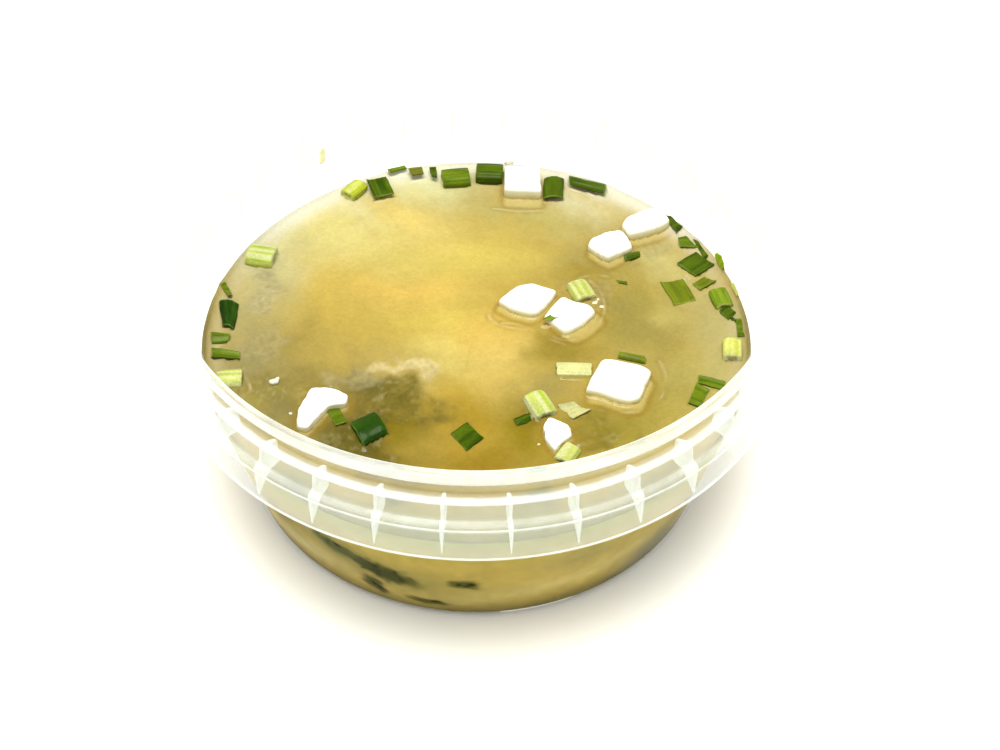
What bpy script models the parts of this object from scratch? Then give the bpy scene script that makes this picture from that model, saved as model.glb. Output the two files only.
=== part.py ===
"""A round take-away tub of miso soup with tofu and chopped spring onion.

The tub is one moulding: a thin bowl with a beaded rim, a guard band that
hangs round its neck, and ribs that tie the band to the bowl.  The soup fills
a little over half of it.  Tofu and the larger pieces of spring onion float at
the surface, each in a pocket of the soup.

Lengths below are in millimetres and become metres when a mesh is made.  The
origin is the middle of the base, +Z is up and -Y is the front.
"""

import math

import bmesh
import bpy
import numpy as np
from mathutils import Matrix, Vector

MM = 0.001

# ---- driving dimensions -----------------------------------------------------
TUB_HEIGHT = 58.2
RIM_RADIUS = 63.8
RIM_WIDTH = 1.5
BEAD_DROP = 2.9
WALL = 0.8
BASE_THICKNESS = 0.9
BASE_CORNER_HEIGHT = 2.6
BASE_CORNER_RADIUS = 52.2
FLANK_SLOPE = 0.25
BRIM_RADIUS = 60.0
BRIM_SLOPE = 0.02
BEND_SOFTNESS = 1.0
SHOULDER_HEIGHT = 48.4
LEDGE_HEIGHT = 50.8
NECK_RADIUS = 61.9
LEDGE_WIDTH = 2.5
STEP_HEIGHT = 46.6
STEP_RADIUS = 64.8
BAND_RADIUS = 66.5
BAND_FOOT = 36.7
BAND_WALL = 0.8
RIB_COUNT = 32
RIB_THICKNESS = 1.0
RIB_WAIST = 43.2
SOUP_LEVEL = 32.9
MENISCUS_HEIGHT = 0.7
MENISCUS_WIDTH = 1.6
GAP = 0.3
SEGMENTS = 64
CORNER_STEPS = 3
WALL_STEPS = 5
SHARP_ANGLE = 35

# Small chamfers and offsets of the mouldings' corners.
CHAMFER = 0.3
WIDE_CHAMFER = 0.5
BEAD_LIP = 0.4
BEAD_NECK = 0.9
INNER_SHOULDER = 0.7
SHOULDER_ROUND = 0.6
BAND_TAPER = 0.3
RIB_TIP = 1.4
RIB_TIP_WIDTH = 0.8

TOFU_DEPTH = 9.0
TOFU_EDGE = 1.3
TOFU_UNEVENNESS = 0.45
TOFU_SEED = 7
TOFU_BEVEL_STEPS = 2
SCRAP_TAPER = 0.9
ONION_LEAF_THICKNESS = 1.3
ONION_SIDES = 10
LEAF_SQUARENESS = 0.6
LEAF_RISE = 0.15
STALK_SQUARENESS = 0.85
STALK_FLATNESS = 0.62
STALK_RISE = 0.1
POCKET_CLEARANCE = 0.35
POCKET_SPREAD = 1.4

# Name, centre x and y, length and width of the top, turn in degrees, and how
# far the top stands above the soup.
TOFU_BLOCKS = [
    ("tofu_01", 11.0, 50.2, 9.6, 8.8, 83.0, 3.4),
    ("tofu_02", 29.6, 27.0, 9.8, 7.6, 32.0, 2.3),
    ("tofu_03", 38.4, 33.6, 10.2, 8.0, 27.0, 2.9),
    ("tofu_04", 11.2, 10.0, 10.8, 9.6, 52.0, 2.0),
    ("tofu_05", 20.0, 4.3, 10.6, 9.0, 52.0, 1.7),
    ("tofu_06", 29.9, -15.8, 11.2, 11.4, 70.0, 1.9),
]

# Torn pieces of tofu: name, how far the top stands above the soup, how deep
# the piece reaches below its top, and the outline of the top.
TOFU_SCRAPS = [
    ("tofu_07", 2.2, 5.0, [
        (-34.5, -18.4), (-30.5, -18.6), (-26.8, -20.4), (-26.9, -23.0),
        (-30.6, -23.8), (-34.6, -30.2), (-36.6, -29.4), (-37.0, -24.6),
    ]),
    ("tofu_08", 1.7, 4.0, [
        (14.7, -26.5), (19.0, -28.9), (19.2, -31.8), (17.2, -33.3),
        (15.6, -35.8), (13.9, -32.5), (13.2, -29.6),
    ]),
]


class Cut:
    """The two ways a spring onion is chopped here."""

    LEAF = "leaf"
    STALK = "stalk"


# Name, cut, centre x and y, length along the tube, width across it, turn of
# the length in degrees, and how far the piece is lifted by the soup's edge.
ONION_PIECES = [
    ("onion_01", Cut.LEAF, -2.0, -31.0, 5.8, 4.7, 124.0, 0.0),
    ("onion_02", Cut.STALK, 13.1, -22.6, 6.8, 5.0, 114.0, 0.0),
    ("onion_03", Cut.STALK, 19.4, -11.9, 6.8, 3.9, -4.0, 0.0),
    ("onion_04", Cut.STALK, 54.6, -6.5, 5.6, 4.2, 86.0, 0.0),
    ("onion_05", Cut.STALK, 54.0, 9.9, 5.4, 4.2, 102.0, 0.2),
    ("onion_06", Cut.LEAF, 49.4, 21.2, 6.6, 5.8, 34.0, 0.4),
    ("onion_07", Cut.LEAF, 45.0, 12.9, 7.8, 5.2, 108.0, 0.0),
    ("onion_08", Cut.STALK, 24.6, 12.9, 5.8, 4.2, 116.0, 0.0),
    ("onion_09", Cut.LEAF, 27.0, 48.4, 9.2, 3.2, -25.0, 1.2),
    ("onion_10", Cut.STALK, 19.1, 48.6, 7.2, 4.4, 88.0, 1.0),
    ("onion_11", Cut.STALK, 2.4, 53.0, 6.4, 5.4, 175.0, 1.2),
    ("onion_12", Cut.STALK, -5.7, 52.0, 6.4, 5.2, 12.0, 0.8),
    ("onion_13", Cut.LEAF, -22.7, 48.2, 7.0, 5.2, 109.0, 1.0),
    ("onion_14", Cut.STALK, -29.5, 46.5, 5.2, 3.9, 38.0, 1.0),
    ("onion_15", Cut.STALK, -48.5, 23.2, 7.0, 6.0, 165.0, 0.4),
    ("onion_16", Cut.LEAF, -54.0, 4.9, 8.8, 4.4, 94.0, 0.6),
    ("onion_17", Cut.STALK, -51.7, -14.6, 5.6, 4.7, 8.0, 0.2),
    ("onion_18", Cut.LEAF, -22.0, -29.1, 7.1, 6.1, 118.0, 0.0),
]


def clear_scene():
    """Remove every object so that the script can be run again."""
    for leftover in list(bpy.data.objects):
        bpy.data.objects.remove(leftover, do_unlink=True)


def material(name, colour, roughness, alpha=1.0):
    """Return a Principled BSDF material with the given finish."""
    made = bpy.data.materials.new(name)
    made.use_nodes = True
    shader = made.node_tree.nodes["Principled BSDF"]
    shader.inputs["Base Color"].default_value = (*colour, 1.0)
    shader.inputs["Roughness"].default_value = roughness
    shader.inputs["Metallic"].default_value = 0.0
    shader.inputs["Alpha"].default_value = alpha
    return made


def object_from(name, vertices, faces, finish):
    """Make a mesh object from vertices in millimetres."""
    mesh = bpy.data.meshes.new(name)
    mesh.from_pydata([Vector(point) * MM for point in vertices], [], faces)
    mesh.materials.append(finish)
    made = bpy.data.objects.new(name, mesh)
    bpy.context.scene.collection.objects.link(made)
    return made


def face_outwards(made):
    """Turn every face of a closed mesh to point out of it."""
    shape = bmesh.new()
    shape.from_mesh(made.data)
    bmesh.ops.recalc_face_normals(shape, faces=shape.faces)
    shape.to_mesh(made.data)
    shape.free()
    made.data.shade_smooth()
    made.data.set_sharp_from_angle(angle=math.radians(SHARP_ANGLE))


def lathe(name, profile, finish):
    """Turn a closed (radius, height) profile about the Z axis.

    A point on the axis becomes a single vertex, so a profile may close there.
    """
    vertices = []
    rings = []
    for radius, height in profile:
        if radius == 0:
            rings.append([len(vertices)] * SEGMENTS)
            vertices.append((0, 0, height))
            continue
        rings.append(list(range(len(vertices), len(vertices) + SEGMENTS)))
        for step in range(SEGMENTS):
            angle = 2 * math.pi * step / SEGMENTS
            vertices.append((radius * math.cos(angle), radius * math.sin(angle), height))
    faces = []
    for ring, following in zip(rings, rings[1:] + rings[:1]):
        for step in range(SEGMENTS):
            after = (step + 1) % SEGMENTS
            corners = [ring[step], ring[after], following[after], following[step]]
            face = list(dict.fromkeys(corners))
            if len(face) > 2:
                faces.append(face)
    made = object_from(name, vertices, faces, finish)
    face_outwards(made)
    return made


def boolean(target, tool, operation):
    """Apply an exact Boolean of the tool to the target, then drop the tool."""
    step = target.modifiers.new(operation.lower(), "BOOLEAN")
    step.operation = operation
    step.solver = "EXACT"
    step.object = tool
    bpy.context.view_layer.update()
    evaluated = target.evaluated_get(bpy.context.evaluated_depsgraph_get())
    result = bpy.data.meshes.new_from_object(evaluated)
    target.modifiers.clear()
    target.data = result
    bpy.data.objects.remove(tool, do_unlink=True)


def wall_radius(height):
    """Outer radius of the bowl: a cone that bends softly into a steeper brim."""
    flank = BASE_CORNER_RADIUS + FLANK_SLOPE * (height - BASE_CORNER_HEIGHT)
    brim = BRIM_RADIUS + BRIM_SLOPE * (height - SOUP_LEVEL)
    return (flank + brim - math.hypot(flank - brim, BEND_SOFTNESS)) / 2


def base_corner(offset, steps):
    """Points of the rounded base corner, moved inwards by an offset."""
    reach = BASE_CORNER_HEIGHT - offset
    middle = BASE_CORNER_RADIUS - BASE_CORNER_HEIGHT
    points = []
    for step in range(steps):
        angle = -math.pi / 2 + math.pi / 2 * step / steps
        points.append((middle + reach * math.cos(angle), BASE_CORNER_HEIGHT + reach * math.sin(angle)))
    return points


def wall_line(offset, low, high, steps):
    """Points up the wall at an offset inwards from its outer face."""
    heights = np.linspace(low, high, steps)
    return [(wall_radius(height) - offset, float(height)) for height in heights]


def band_profile():
    """The band in section, from the shoulder out, down, up and over the ledge."""
    ledge_edge = NECK_RADIUS + LEDGE_WIDTH
    inner = BAND_RADIUS - BAND_WALL
    return [
        (wall_radius(SHOULDER_HEIGHT) + SHOULDER_ROUND, SHOULDER_HEIGHT + BAND_WALL),
        (ledge_edge - BAND_WALL, LEDGE_HEIGHT - BAND_WALL),
        (STEP_RADIUS - BAND_WALL, STEP_HEIGHT - BAND_WALL + CHAMFER),
        (inner, STEP_HEIGHT - BAND_WALL),
        (inner - BAND_TAPER, BAND_FOOT),
        (BAND_RADIUS - WIDE_CHAMFER, BAND_FOOT),
        (BAND_RADIUS - BAND_TAPER, BAND_FOOT + CHAMFER),
        (BAND_RADIUS, STEP_HEIGHT - WIDE_CHAMFER),
        (BAND_RADIUS - WIDE_CHAMFER, STEP_HEIGHT),
        (STEP_RADIUS, STEP_HEIGHT + CHAMFER),
        (ledge_edge, LEDGE_HEIGHT - CHAMFER),
        (ledge_edge - CHAMFER, LEDGE_HEIGHT),
        (NECK_RADIUS, LEDGE_HEIGHT),
    ]


def tub_profile():
    """The whole moulding in section, closed on the axis at the base."""
    rim_inner = RIM_RADIUS - RIM_WIDTH
    bead_foot = TUB_HEIGHT - BEAD_DROP
    outside = [(0, 0)] + base_corner(0, CORNER_STEPS)
    outside += wall_line(0, BASE_CORNER_HEIGHT, SHOULDER_HEIGHT, WALL_STEPS)
    outside += band_profile()
    outside += [
        (RIM_RADIUS - BEAD_NECK, bead_foot - BEAD_LIP),
        (RIM_RADIUS, bead_foot),
        (RIM_RADIUS, TUB_HEIGHT - WIDE_CHAMFER),
        (RIM_RADIUS - WIDE_CHAMFER, TUB_HEIGHT),
    ]
    inside = [
        (rim_inner + WIDE_CHAMFER, TUB_HEIGHT),
        (rim_inner, TUB_HEIGHT - WIDE_CHAMFER),
        (NECK_RADIUS - WALL, LEDGE_HEIGHT + CHAMFER),
        (NECK_RADIUS - WALL - INNER_SHOULDER, LEDGE_HEIGHT - WIDE_CHAMFER),
    ]
    inside += list(reversed(wall_line(WALL, BASE_CORNER_HEIGHT, SHOULDER_HEIGHT, WALL_STEPS)))
    inside += list(reversed(base_corner(BASE_THICKNESS, CORNER_STEPS)))
    inside += [(0, BASE_THICKNESS)]
    return outside + inside


def rib_outline():
    """One rib in section: a thumb under the ledge, a spike inside the band."""
    inner = BAND_RADIUS - BAND_WALL / 2
    tip = BAND_FOOT + RIB_TIP
    return [
        (wall_radius(SHOULDER_HEIGHT) - WALL / 2, SHOULDER_HEIGHT + BAND_WALL),
        (NECK_RADIUS + LEDGE_WIDTH - BAND_WALL / 2, LEDGE_HEIGHT - WIDE_CHAMFER),
        (STEP_RADIUS - BAND_WALL / 2, STEP_HEIGHT),
        (inner, STEP_HEIGHT - BAND_WALL / 2),
        (inner, tip),
        (inner - RIB_TIP_WIDTH, tip + RIB_TIP_WIDTH / 2),
        (NECK_RADIUS + WIDE_CHAMFER, RIB_WAIST),
        (wall_radius(RIB_WAIST) - WALL / 2, RIB_WAIST - CHAMFER),
    ]


def ribs(finish):
    """All the ribs as one mesh of separate plates, half a pitch off the front."""
    vertices = []
    faces = []
    outline = rib_outline()
    count = len(outline)
    for rib in range(RIB_COUNT):
        turn = Matrix.Rotation(-math.pi / 2 + 2 * math.pi * (rib + 0.5) / RIB_COUNT, 3, "Z")
        start = len(vertices)
        for side in (-RIB_THICKNESS / 2, RIB_THICKNESS / 2):
            vertices += [turn @ Vector((radius, side, height)) for radius, height in outline]
        faces.append([start + corner for corner in range(count)])
        faces.append([start + count + corner for corner in reversed(range(count))])
        for corner in range(count):
            after = (corner + 1) % count
            faces.append([start + corner, start + count + corner, start + count + after, start + after])
    made = object_from("ribs", vertices, faces, finish)
    face_outwards(made)
    return made


def make_tub(finish):
    """The moulded tub, with its ribs melted into the wall and the band."""
    tub = lathe("tub", tub_profile(), finish)
    boolean(tub, ribs(finish), "UNION")
    return tub


def make_soup(finish):
    """The soup up to its level, with the edge that creeps up the wall."""
    offset = WALL + GAP
    top = SOUP_LEVEL + MENISCUS_HEIGHT
    profile = [(0, BASE_THICKNESS + GAP)] + base_corner(BASE_THICKNESS + GAP, CORNER_STEPS)
    profile += wall_line(offset, BASE_CORNER_HEIGHT, top, WALL_STEPS - 1)
    edge = wall_radius(top) - offset
    profile += [(edge - MENISCUS_WIDTH / 3, SOUP_LEVEL + MENISCUS_HEIGHT / 4)]
    profile += [(edge - MENISCUS_WIDTH, SOUP_LEVEL), (0, SOUP_LEVEL)]
    return lathe("soup", profile, finish)


def block_mesh(name, length, width, depth, edge, noise, finish):
    """An uneven block with rounded edges, its top face at height zero."""
    shape = bmesh.new()
    bmesh.ops.create_cube(shape, size=1.0)
    for corner, shift in zip(shape.verts, noise):
        corner.co = Vector((corner.co.x * length, corner.co.y * width, (corner.co.z - 0.5) * depth))
        corner.co += Vector((shift[0], shift[1], shift[2] / 2))
    bmesh.ops.bevel(
        shape, geom=shape.edges[:], offset=edge, offset_type="OFFSET", segments=TOFU_BEVEL_STEPS,
        profile=0.5,
        affect="EDGES", clamp_overlap=True,
    )
    bmesh.ops.scale(shape, vec=(MM, MM, MM), verts=shape.verts)
    mesh = bpy.data.meshes.new(name)
    shape.to_mesh(mesh)
    shape.free()
    mesh.materials.append(finish)
    made = bpy.data.objects.new(name, mesh)
    bpy.context.scene.collection.objects.link(made)
    return made


def place(made, x, y, height, turn):
    """Stand an object at its place, turned about Z by degrees."""
    made.location = Vector((x, y, height)) * MM
    made.rotation_euler = (0, 0, math.radians(turn))


def prism(name, outline, low, high, finish, taper=1.0):
    """An outline in plan as a solid, drawn in at its foot by a taper."""
    middle = np.mean(np.array(outline), axis=0)
    foot = [tuple(middle + (np.array(point) - middle) * taper) for point in outline]
    count = len(outline)
    vertices = [(x, y, low) for x, y in foot]
    vertices += [(x, y, high) for x, y in outline]
    faces = [list(reversed(range(count))), list(range(count, 2 * count))]
    for corner in range(count):
        after = (corner + 1) % count
        faces.append([corner, after, count + after, count + corner])
    made = object_from(name, vertices, faces, finish)
    face_outwards(made)
    return made


def grown(outline, margin):
    """Move every point of an outline away from its middle by a margin."""
    points = np.array(outline)
    away = points - points.mean(axis=0)
    reach = np.linalg.norm(away, axis=1, keepdims=True)
    return [tuple(point) for point in points.mean(axis=0) + away * (1 + POCKET_SPREAD * margin / reach)]


def tube_outline(cut, width, thickness):
    """Cross-section of a chopped piece: a flat oval leaf or a fuller stalk."""
    points = []
    squareness = LEAF_SQUARENESS if cut == Cut.LEAF else STALK_SQUARENESS
    for step in range(ONION_SIDES):
        angle = 2 * math.pi * (step + 0.5) / ONION_SIDES
        across = math.copysign(abs(math.cos(angle)) ** squareness, math.cos(angle))
        up = math.copysign(abs(math.sin(angle)) ** squareness, math.sin(angle))
        points.append((across * width / 2, up * thickness / 2))
    return points


def tube_piece(name, section, length, finish):
    """A section in (across, up) drawn along +X to a length, closed at its ends."""
    count = len(section)
    vertices = []
    for end in (-length / 2, length / 2):
        vertices += [(end, across, up) for across, up in section]
    faces = [list(reversed(range(count))), list(range(count, 2 * count))]
    for corner in range(count):
        after = (corner + 1) % count
        faces.append([corner, after, count + after, count + corner])
    made = object_from(name, vertices, faces, finish)
    face_outwards(made)
    return made


def add_tofu_blocks(soup, finish):
    """Float each block of tofu in a pocket of the soup."""
    chance = np.random.default_rng(TOFU_SEED)
    for name, x, y, length, width, turn, freeboard in TOFU_BLOCKS:
        noise = chance.uniform(-TOFU_UNEVENNESS, TOFU_UNEVENNESS, (8, 3))
        top = SOUP_LEVEL + freeboard
        pocket = block_mesh(
            "pocket", length + 2 * POCKET_CLEARANCE, width + 2 * POCKET_CLEARANCE,
            TOFU_DEPTH + 2 * POCKET_CLEARANCE, TOFU_EDGE, noise, finish,
        )
        place(pocket, x, y, top + POCKET_CLEARANCE, turn)
        boolean(soup, pocket, "DIFFERENCE")
        block = block_mesh(name, length, width, TOFU_DEPTH, TOFU_EDGE, noise, finish)
        place(block, x, y, top, turn)


def add_tofu_scraps(soup, finish):
    """Float the torn pieces of tofu."""
    for name, freeboard, depth, outline in TOFU_SCRAPS:
        top = SOUP_LEVEL + freeboard
        wide = grown(outline, POCKET_CLEARANCE)
        pocket = prism("pocket", wide, top - depth - GAP, top + GAP, finish)
        boolean(soup, pocket, "DIFFERENCE")
        prism(name, outline, top - depth, top, finish, taper=SCRAP_TAPER)


def add_onion(soup, finishes):
    """Float each larger piece of spring onion, half sunk."""
    for name, cut, x, y, length, width, turn, lift in ONION_PIECES:
        thickness = ONION_LEAF_THICKNESS if cut == Cut.LEAF else STALK_FLATNESS * width
        height = SOUP_LEVEL + lift + (LEAF_RISE if cut == Cut.LEAF else STALK_RISE * thickness)
        wide = tube_outline(cut, width + 2 * POCKET_CLEARANCE, thickness + 2 * POCKET_CLEARANCE)
        pocket = tube_piece("pocket", wide, length + 2 * POCKET_CLEARANCE, finishes[cut])
        place(pocket, x, y, height, turn)
        boolean(soup, pocket, "DIFFERENCE")
        piece = tube_piece(name, tube_outline(cut, width, thickness), length, finishes[cut])
        place(piece, x, y, height, turn)


def main():
    """Build the tub, the soup and what floats in it."""
    clear_scene()
    make_tub(material("clear_plastic", (0.92, 0.93, 0.90), 0.25, 0.45))
    soup = make_soup(material("miso_broth", (0.55, 0.40, 0.14), 0.12))
    add_tofu_blocks(soup, material("tofu", (0.90, 0.88, 0.78), 0.45))
    add_tofu_scraps(soup, material("tofu_torn", (0.90, 0.88, 0.78), 0.5))
    greens = {
        Cut.LEAF: material("onion_leaf", (0.06, 0.17, 0.02), 0.35),
        Cut.STALK: material("onion_stalk", (0.42, 0.55, 0.12), 0.35),
    }
    add_onion(soup, greens)


main()
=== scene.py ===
"""A round take-away tub of miso soup with tofu and chopped spring onion.

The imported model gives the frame.  Every surface here is worked out as a whole
array with numpy, in millimetres, with the origin in the middle of the tub's
base, +Z up and -Y to the front, and becomes metres when its mesh is made.
"""

import logging
import math
from dataclasses import dataclass, field
from enum import Enum
from itertools import product

import bmesh
import bpy
import numpy as np
from mathutils import Matrix, Vector


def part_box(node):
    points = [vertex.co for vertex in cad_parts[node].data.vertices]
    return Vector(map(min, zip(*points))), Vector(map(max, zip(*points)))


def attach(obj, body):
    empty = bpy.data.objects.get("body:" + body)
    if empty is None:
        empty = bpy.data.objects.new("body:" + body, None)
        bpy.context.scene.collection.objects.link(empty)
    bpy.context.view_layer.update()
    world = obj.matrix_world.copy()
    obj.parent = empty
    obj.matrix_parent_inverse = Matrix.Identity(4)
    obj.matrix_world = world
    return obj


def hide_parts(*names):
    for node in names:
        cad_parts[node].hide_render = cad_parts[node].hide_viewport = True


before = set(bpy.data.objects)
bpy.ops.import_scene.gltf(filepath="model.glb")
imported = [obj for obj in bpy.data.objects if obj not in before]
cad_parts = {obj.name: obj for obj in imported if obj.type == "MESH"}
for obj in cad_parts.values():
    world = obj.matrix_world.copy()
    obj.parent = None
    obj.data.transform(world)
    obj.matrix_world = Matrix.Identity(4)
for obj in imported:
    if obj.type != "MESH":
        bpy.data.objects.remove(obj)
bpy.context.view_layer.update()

MM = 0.001
ROOM_LIGHT = 1.97
Array = np.ndarray
Point2 = tuple[float, float]
Colour = tuple[float, float, float]
log = logging.getLogger("miso_soup")


# ---- numbers and colours ----------------------------------------------------


def linear(colour: Colour) -> Array:
    """Turn a display colour of 0 to 255 into linear light.

    Each channel c in 0..1 becomes c / 12.92 below 0.04 and ((c + 0.055) / 1.055) ** 2.4 above.

    Args:
        colour: red, green and blue.

    Returns:
        The three linear channels.
    """
    share = np.asarray(colour, float) / 255
    return np.where(share < 0.04045, share / 12.92, ((share + 0.055) / 1.055) ** 2.4)


def seen(colour: Colour) -> Array:
    """The surface colour that looks like a display colour in this room's strong light."""
    return linear(colour) / ROOM_LIGHT


def ease(values: Array, low: float, high: float) -> Array:
    """Rise smoothly from 0 at low to 1 at high, as 3t^2 - 2t^3."""
    share = np.clip((values - low) / (high - low), 0, 1)
    return share * share * (3 - 2 * share)


def bump(values: Array, middle: float, reach: float) -> Array:
    """A bell of height 1 at the middle: exp(-(distance / reach)^2)."""
    return np.exp(-(((values - middle) / reach) ** 2))


def mixed(first: Array, second: Array, share: Array) -> Array:
    """Blend colours row by row: first where share is 0, second where it is 1."""
    share = np.asarray(share, float)[..., None]
    return first * (1 - share) + second * share


@dataclass(frozen=True)
class Noise:
    """A smooth random field: random numbers on a lattice, blended between its corners."""

    seed: int
    side: int = 32

    def plain(self, points: Array, grain: float) -> Array:
        """Blend the eight lattice numbers round each point with smoothed weights.

        Args:
            points: places in millimetres, three to a row.
            grain: distance between lattice corners in millimetres.

        Returns:
            One number from about -1 to 1 for each point.
        """
        lattice = np.random.default_rng(self.seed).uniform(-1, 1, (self.side,) * 3)
        scaled = points / grain + self.side * 8
        corner = np.floor(scaled).astype(int)
        part = scaled - corner
        part = part * part * (3 - 2 * part)
        total = np.zeros(points.shape[:-1])
        for step in product((0, 1), repeat=3):
            weight = np.prod(np.where(np.array(step) == 1, part, 1 - part), axis=-1)
            index = (corner + np.array(step)) % self.side
            total += weight * lattice[index[..., 0], index[..., 1], index[..., 2]]
        return total

    def layered(self, points: Array, grain: float, layers: int = 3) -> Array:
        """Add layers of the field, each half as coarse and half as strong as the last."""
        total = np.zeros(points.shape[:-1])
        for layer in range(layers):
            total += self.plain(points + 17.3 * layer, grain / 2**layer) / 2**layer
        return total / (2 - 2 ** (1 - layers))


# ---- meshes -----------------------------------------------------------------


class Shape:
    """Grids of points gathered for one mesh, with colours and numbers painted on them."""

    def __init__(self) -> None:
        """Start with nothing in the mesh."""
        self.points: list[Array] = []
        self.faces: list[Array] = []
        self.paint: dict[str, list[Array]] = {}
        self.count = 0

    def grid(self, points: Array, wrap: bool = False, **paint: Array) -> None:
        """Add a grid of points joined by four-sided faces.

        Args:
            points: rows by columns by three, in millimetres.
            wrap: join the last column to the first.
            paint: named colours or numbers, one to a point.
        """
        rows, columns = points.shape[:2]
        index = np.arange(rows * columns).reshape(rows, columns) + self.count
        if wrap:
            index = np.concatenate([index, index[:, :1]], axis=1)
        quads = np.stack([index[:-1, :-1], index[:-1, 1:], index[1:, 1:], index[1:, :-1]], axis=-1)
        self.points.append(points.reshape(-1, 3))
        self.faces.append(quads.reshape(-1, 4))
        self.count += rows * columns
        for name, values in paint.items():
            depth = 1 if values.ndim == 2 else values.shape[-1]
            self.paint.setdefault(name, []).append(values.reshape(-1, depth))

    def made(self, name: str, finish: bpy.types.Material, weld: float = 1e-4) -> bpy.types.Object:
        """Make the mesh: weld points that meet, turn the faces outwards and smooth them.

        Args:
            name: the object's name.
            finish: its material.
            weld: how close points are welded, in millimetres.

        Returns:
            The object, at the origin.
        """
        points = np.concatenate(self.points) * MM
        faces = np.concatenate(self.faces)
        mesh = bpy.data.meshes.new(name)
        mesh.vertices.add(len(points))
        mesh.vertices.foreach_set("co", points.ravel())
        mesh.loops.add(faces.size)
        mesh.loops.foreach_set("vertex_index", faces.ravel())
        mesh.polygons.add(len(faces))
        mesh.polygons.foreach_set("loop_start", np.arange(0, faces.size, 4))
        mesh.update(calc_edges=True)
        for label, parts in self.paint.items():
            values = np.concatenate(parts)
            if values.shape[1] == 1:
                layer = mesh.attributes.new(label, "FLOAT", "POINT")
                layer.data.foreach_set("value", values.ravel())
            else:
                layer = mesh.attributes.new(label, "FLOAT_COLOR", "POINT")
                full = np.concatenate([values, np.ones((len(values), 1))], axis=1)
                layer.data.foreach_set("color", full.ravel())
        shape = bmesh.new()
        shape.from_mesh(mesh)
        bmesh.ops.remove_doubles(shape, verts=shape.verts, dist=weld * MM)
        bmesh.ops.recalc_face_normals(shape, faces=shape.faces)
        shape.to_mesh(mesh)
        shape.free()
        mesh.shade_smooth()
        mesh.materials.append(finish)
        made = bpy.data.objects.new(name, mesh)
        bpy.context.scene.collection.objects.link(made)
        return made


def rounded_path(corners: list[tuple[float, float, float]], spacing: float) -> Array:
    """Walk a line of corners, with an arc of its own radius at each.

    An arc touches both straights at radius * tan(turn / 2) from its corner and is
    a blend of that corner and the two touching points, as a quadratic curve.

    Args:
        corners: radius from the axis, height and arc radius of each corner.
        spacing: longest step along a straight.

    Returns:
        The points of the line, two to a row.
    """
    places = np.array([corner[:2] for corner in corners])
    parts = [places[:1]]
    for index in range(1, len(corners)):
        here = places[index]
        back = parts[-1][-1] - here
        if index == len(corners) - 1 or corners[index][2] == 0:
            start, bend = here, np.empty((0, 2))
        else:
            ahead = places[index + 1] - here
            back_way, ahead_way = back / np.linalg.norm(back), ahead / np.linalg.norm(ahead)
            turn = math.acos(float(np.clip(-back_way @ ahead_way, -1, 1)))
            reach = corners[index][2] * math.tan(turn / 2)
            reach = min(reach, 0.45 * np.linalg.norm(ahead), 0.9 * np.linalg.norm(back))
            start = here + back_way * reach
            share = np.linspace(0, 1, 7)[1:, None]
            bend = start * (1 - share) ** 2 + here * 2 * share * (1 - share)
            bend = bend + (here + ahead_way * reach) * share**2
        gap = np.linalg.norm(start - parts[-1][-1])
        steps = max(1, math.ceil(gap / spacing))
        share = np.linspace(0, 1, steps + 1)[1:, None]
        parts.append(parts[-1][-1] * (1 - share) + start * share)
        if len(bend):
            parts.append(bend)
    return np.concatenate(parts)


def smooth_loop(corners: list[Point2], softness: float, count: int) -> Array:
    """Round a closed outline: walk it evenly, then blur it along its length.

    The blur is a Gaussian of the given softness, applied to the walk as a
    product in the frequency domain.

    Args:
        corners: the outline's corners in order.
        softness: reach of the blur in millimetres.
        count: how many points to return.

    Returns:
        The rounded outline, two numbers to a row, running anticlockwise.
    """
    places = np.array(corners, float)
    after = np.roll(places, -1, axis=0)
    if np.sum(places[:, 0] * after[:, 1] - after[:, 0] * places[:, 1]) < 0:
        places = places[::-1]
    closed = np.concatenate([places, places[:1]])
    lengths = np.linalg.norm(np.diff(closed, axis=0), axis=1)
    along = np.concatenate([[0], np.cumsum(lengths)])
    walk = np.linspace(0, along[-1], count, endpoint=False)
    line = np.interp(walk, along, closed[:, 0]) + 1j * np.interp(walk, along, closed[:, 1])
    waves = np.fft.fftfreq(count, along[-1] / count)
    line = np.fft.ifft(np.fft.fft(line) * np.exp(-2 * (math.pi * waves * softness) ** 2))
    return np.stack([line.real, line.imag], axis=-1)


def outline_distance(points: Array, outline: Array) -> Array:
    """How far points lie outside a closed outline, negative inside.

    The distance is the least over the outline's sides, each by dropping a
    perpendicular held to the side's length.  A point is inside if a ray from
    it crosses the sides an odd number of times.

    Args:
        points: places in plan, two to a row.
        outline: corners in order, two to a row.

    Returns:
        One distance to a point.
    """
    least = np.full(points.shape[:-1], np.inf)
    inside = np.zeros(points.shape[:-1], bool)
    for start, end in zip(outline, np.roll(outline, -1, axis=0)):
        side = end - start
        away = points - start
        share = np.clip(away @ side / max(side @ side, 1e-12), 0, 1)
        least = np.minimum(least, np.linalg.norm(away - share[..., None] * side, axis=-1))
        crosses = (start[1] > points[..., 1]) != (end[1] > points[..., 1])
        rise = side[1] if side[1] else 1e-12
        meets = start[0] + (points[..., 1] - start[1]) * side[0] / rise
        inside ^= crosses & (points[..., 0] < meets)
    return np.where(inside, -least, least)


def cut_corners(corners: tuple[Point2, ...], rounds: int = 3) -> Array:
    """Soften an open line: each round swaps every corner for two, a quarter in from its neighbours.

    Args:
        corners: the line's corners in order.
        rounds: how often to soften it.

    Returns:
        The softened line, two numbers to a row.
    """
    line = np.array(corners, float)
    for _ in range(rounds):
        near, far = 0.75 * line[:-1] + 0.25 * line[1:], 0.25 * line[:-1] + 0.75 * line[1:]
        line = np.concatenate([line[:1], np.stack([near, far], axis=1).reshape(-1, 2), line[-1:]])
    return line


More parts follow.
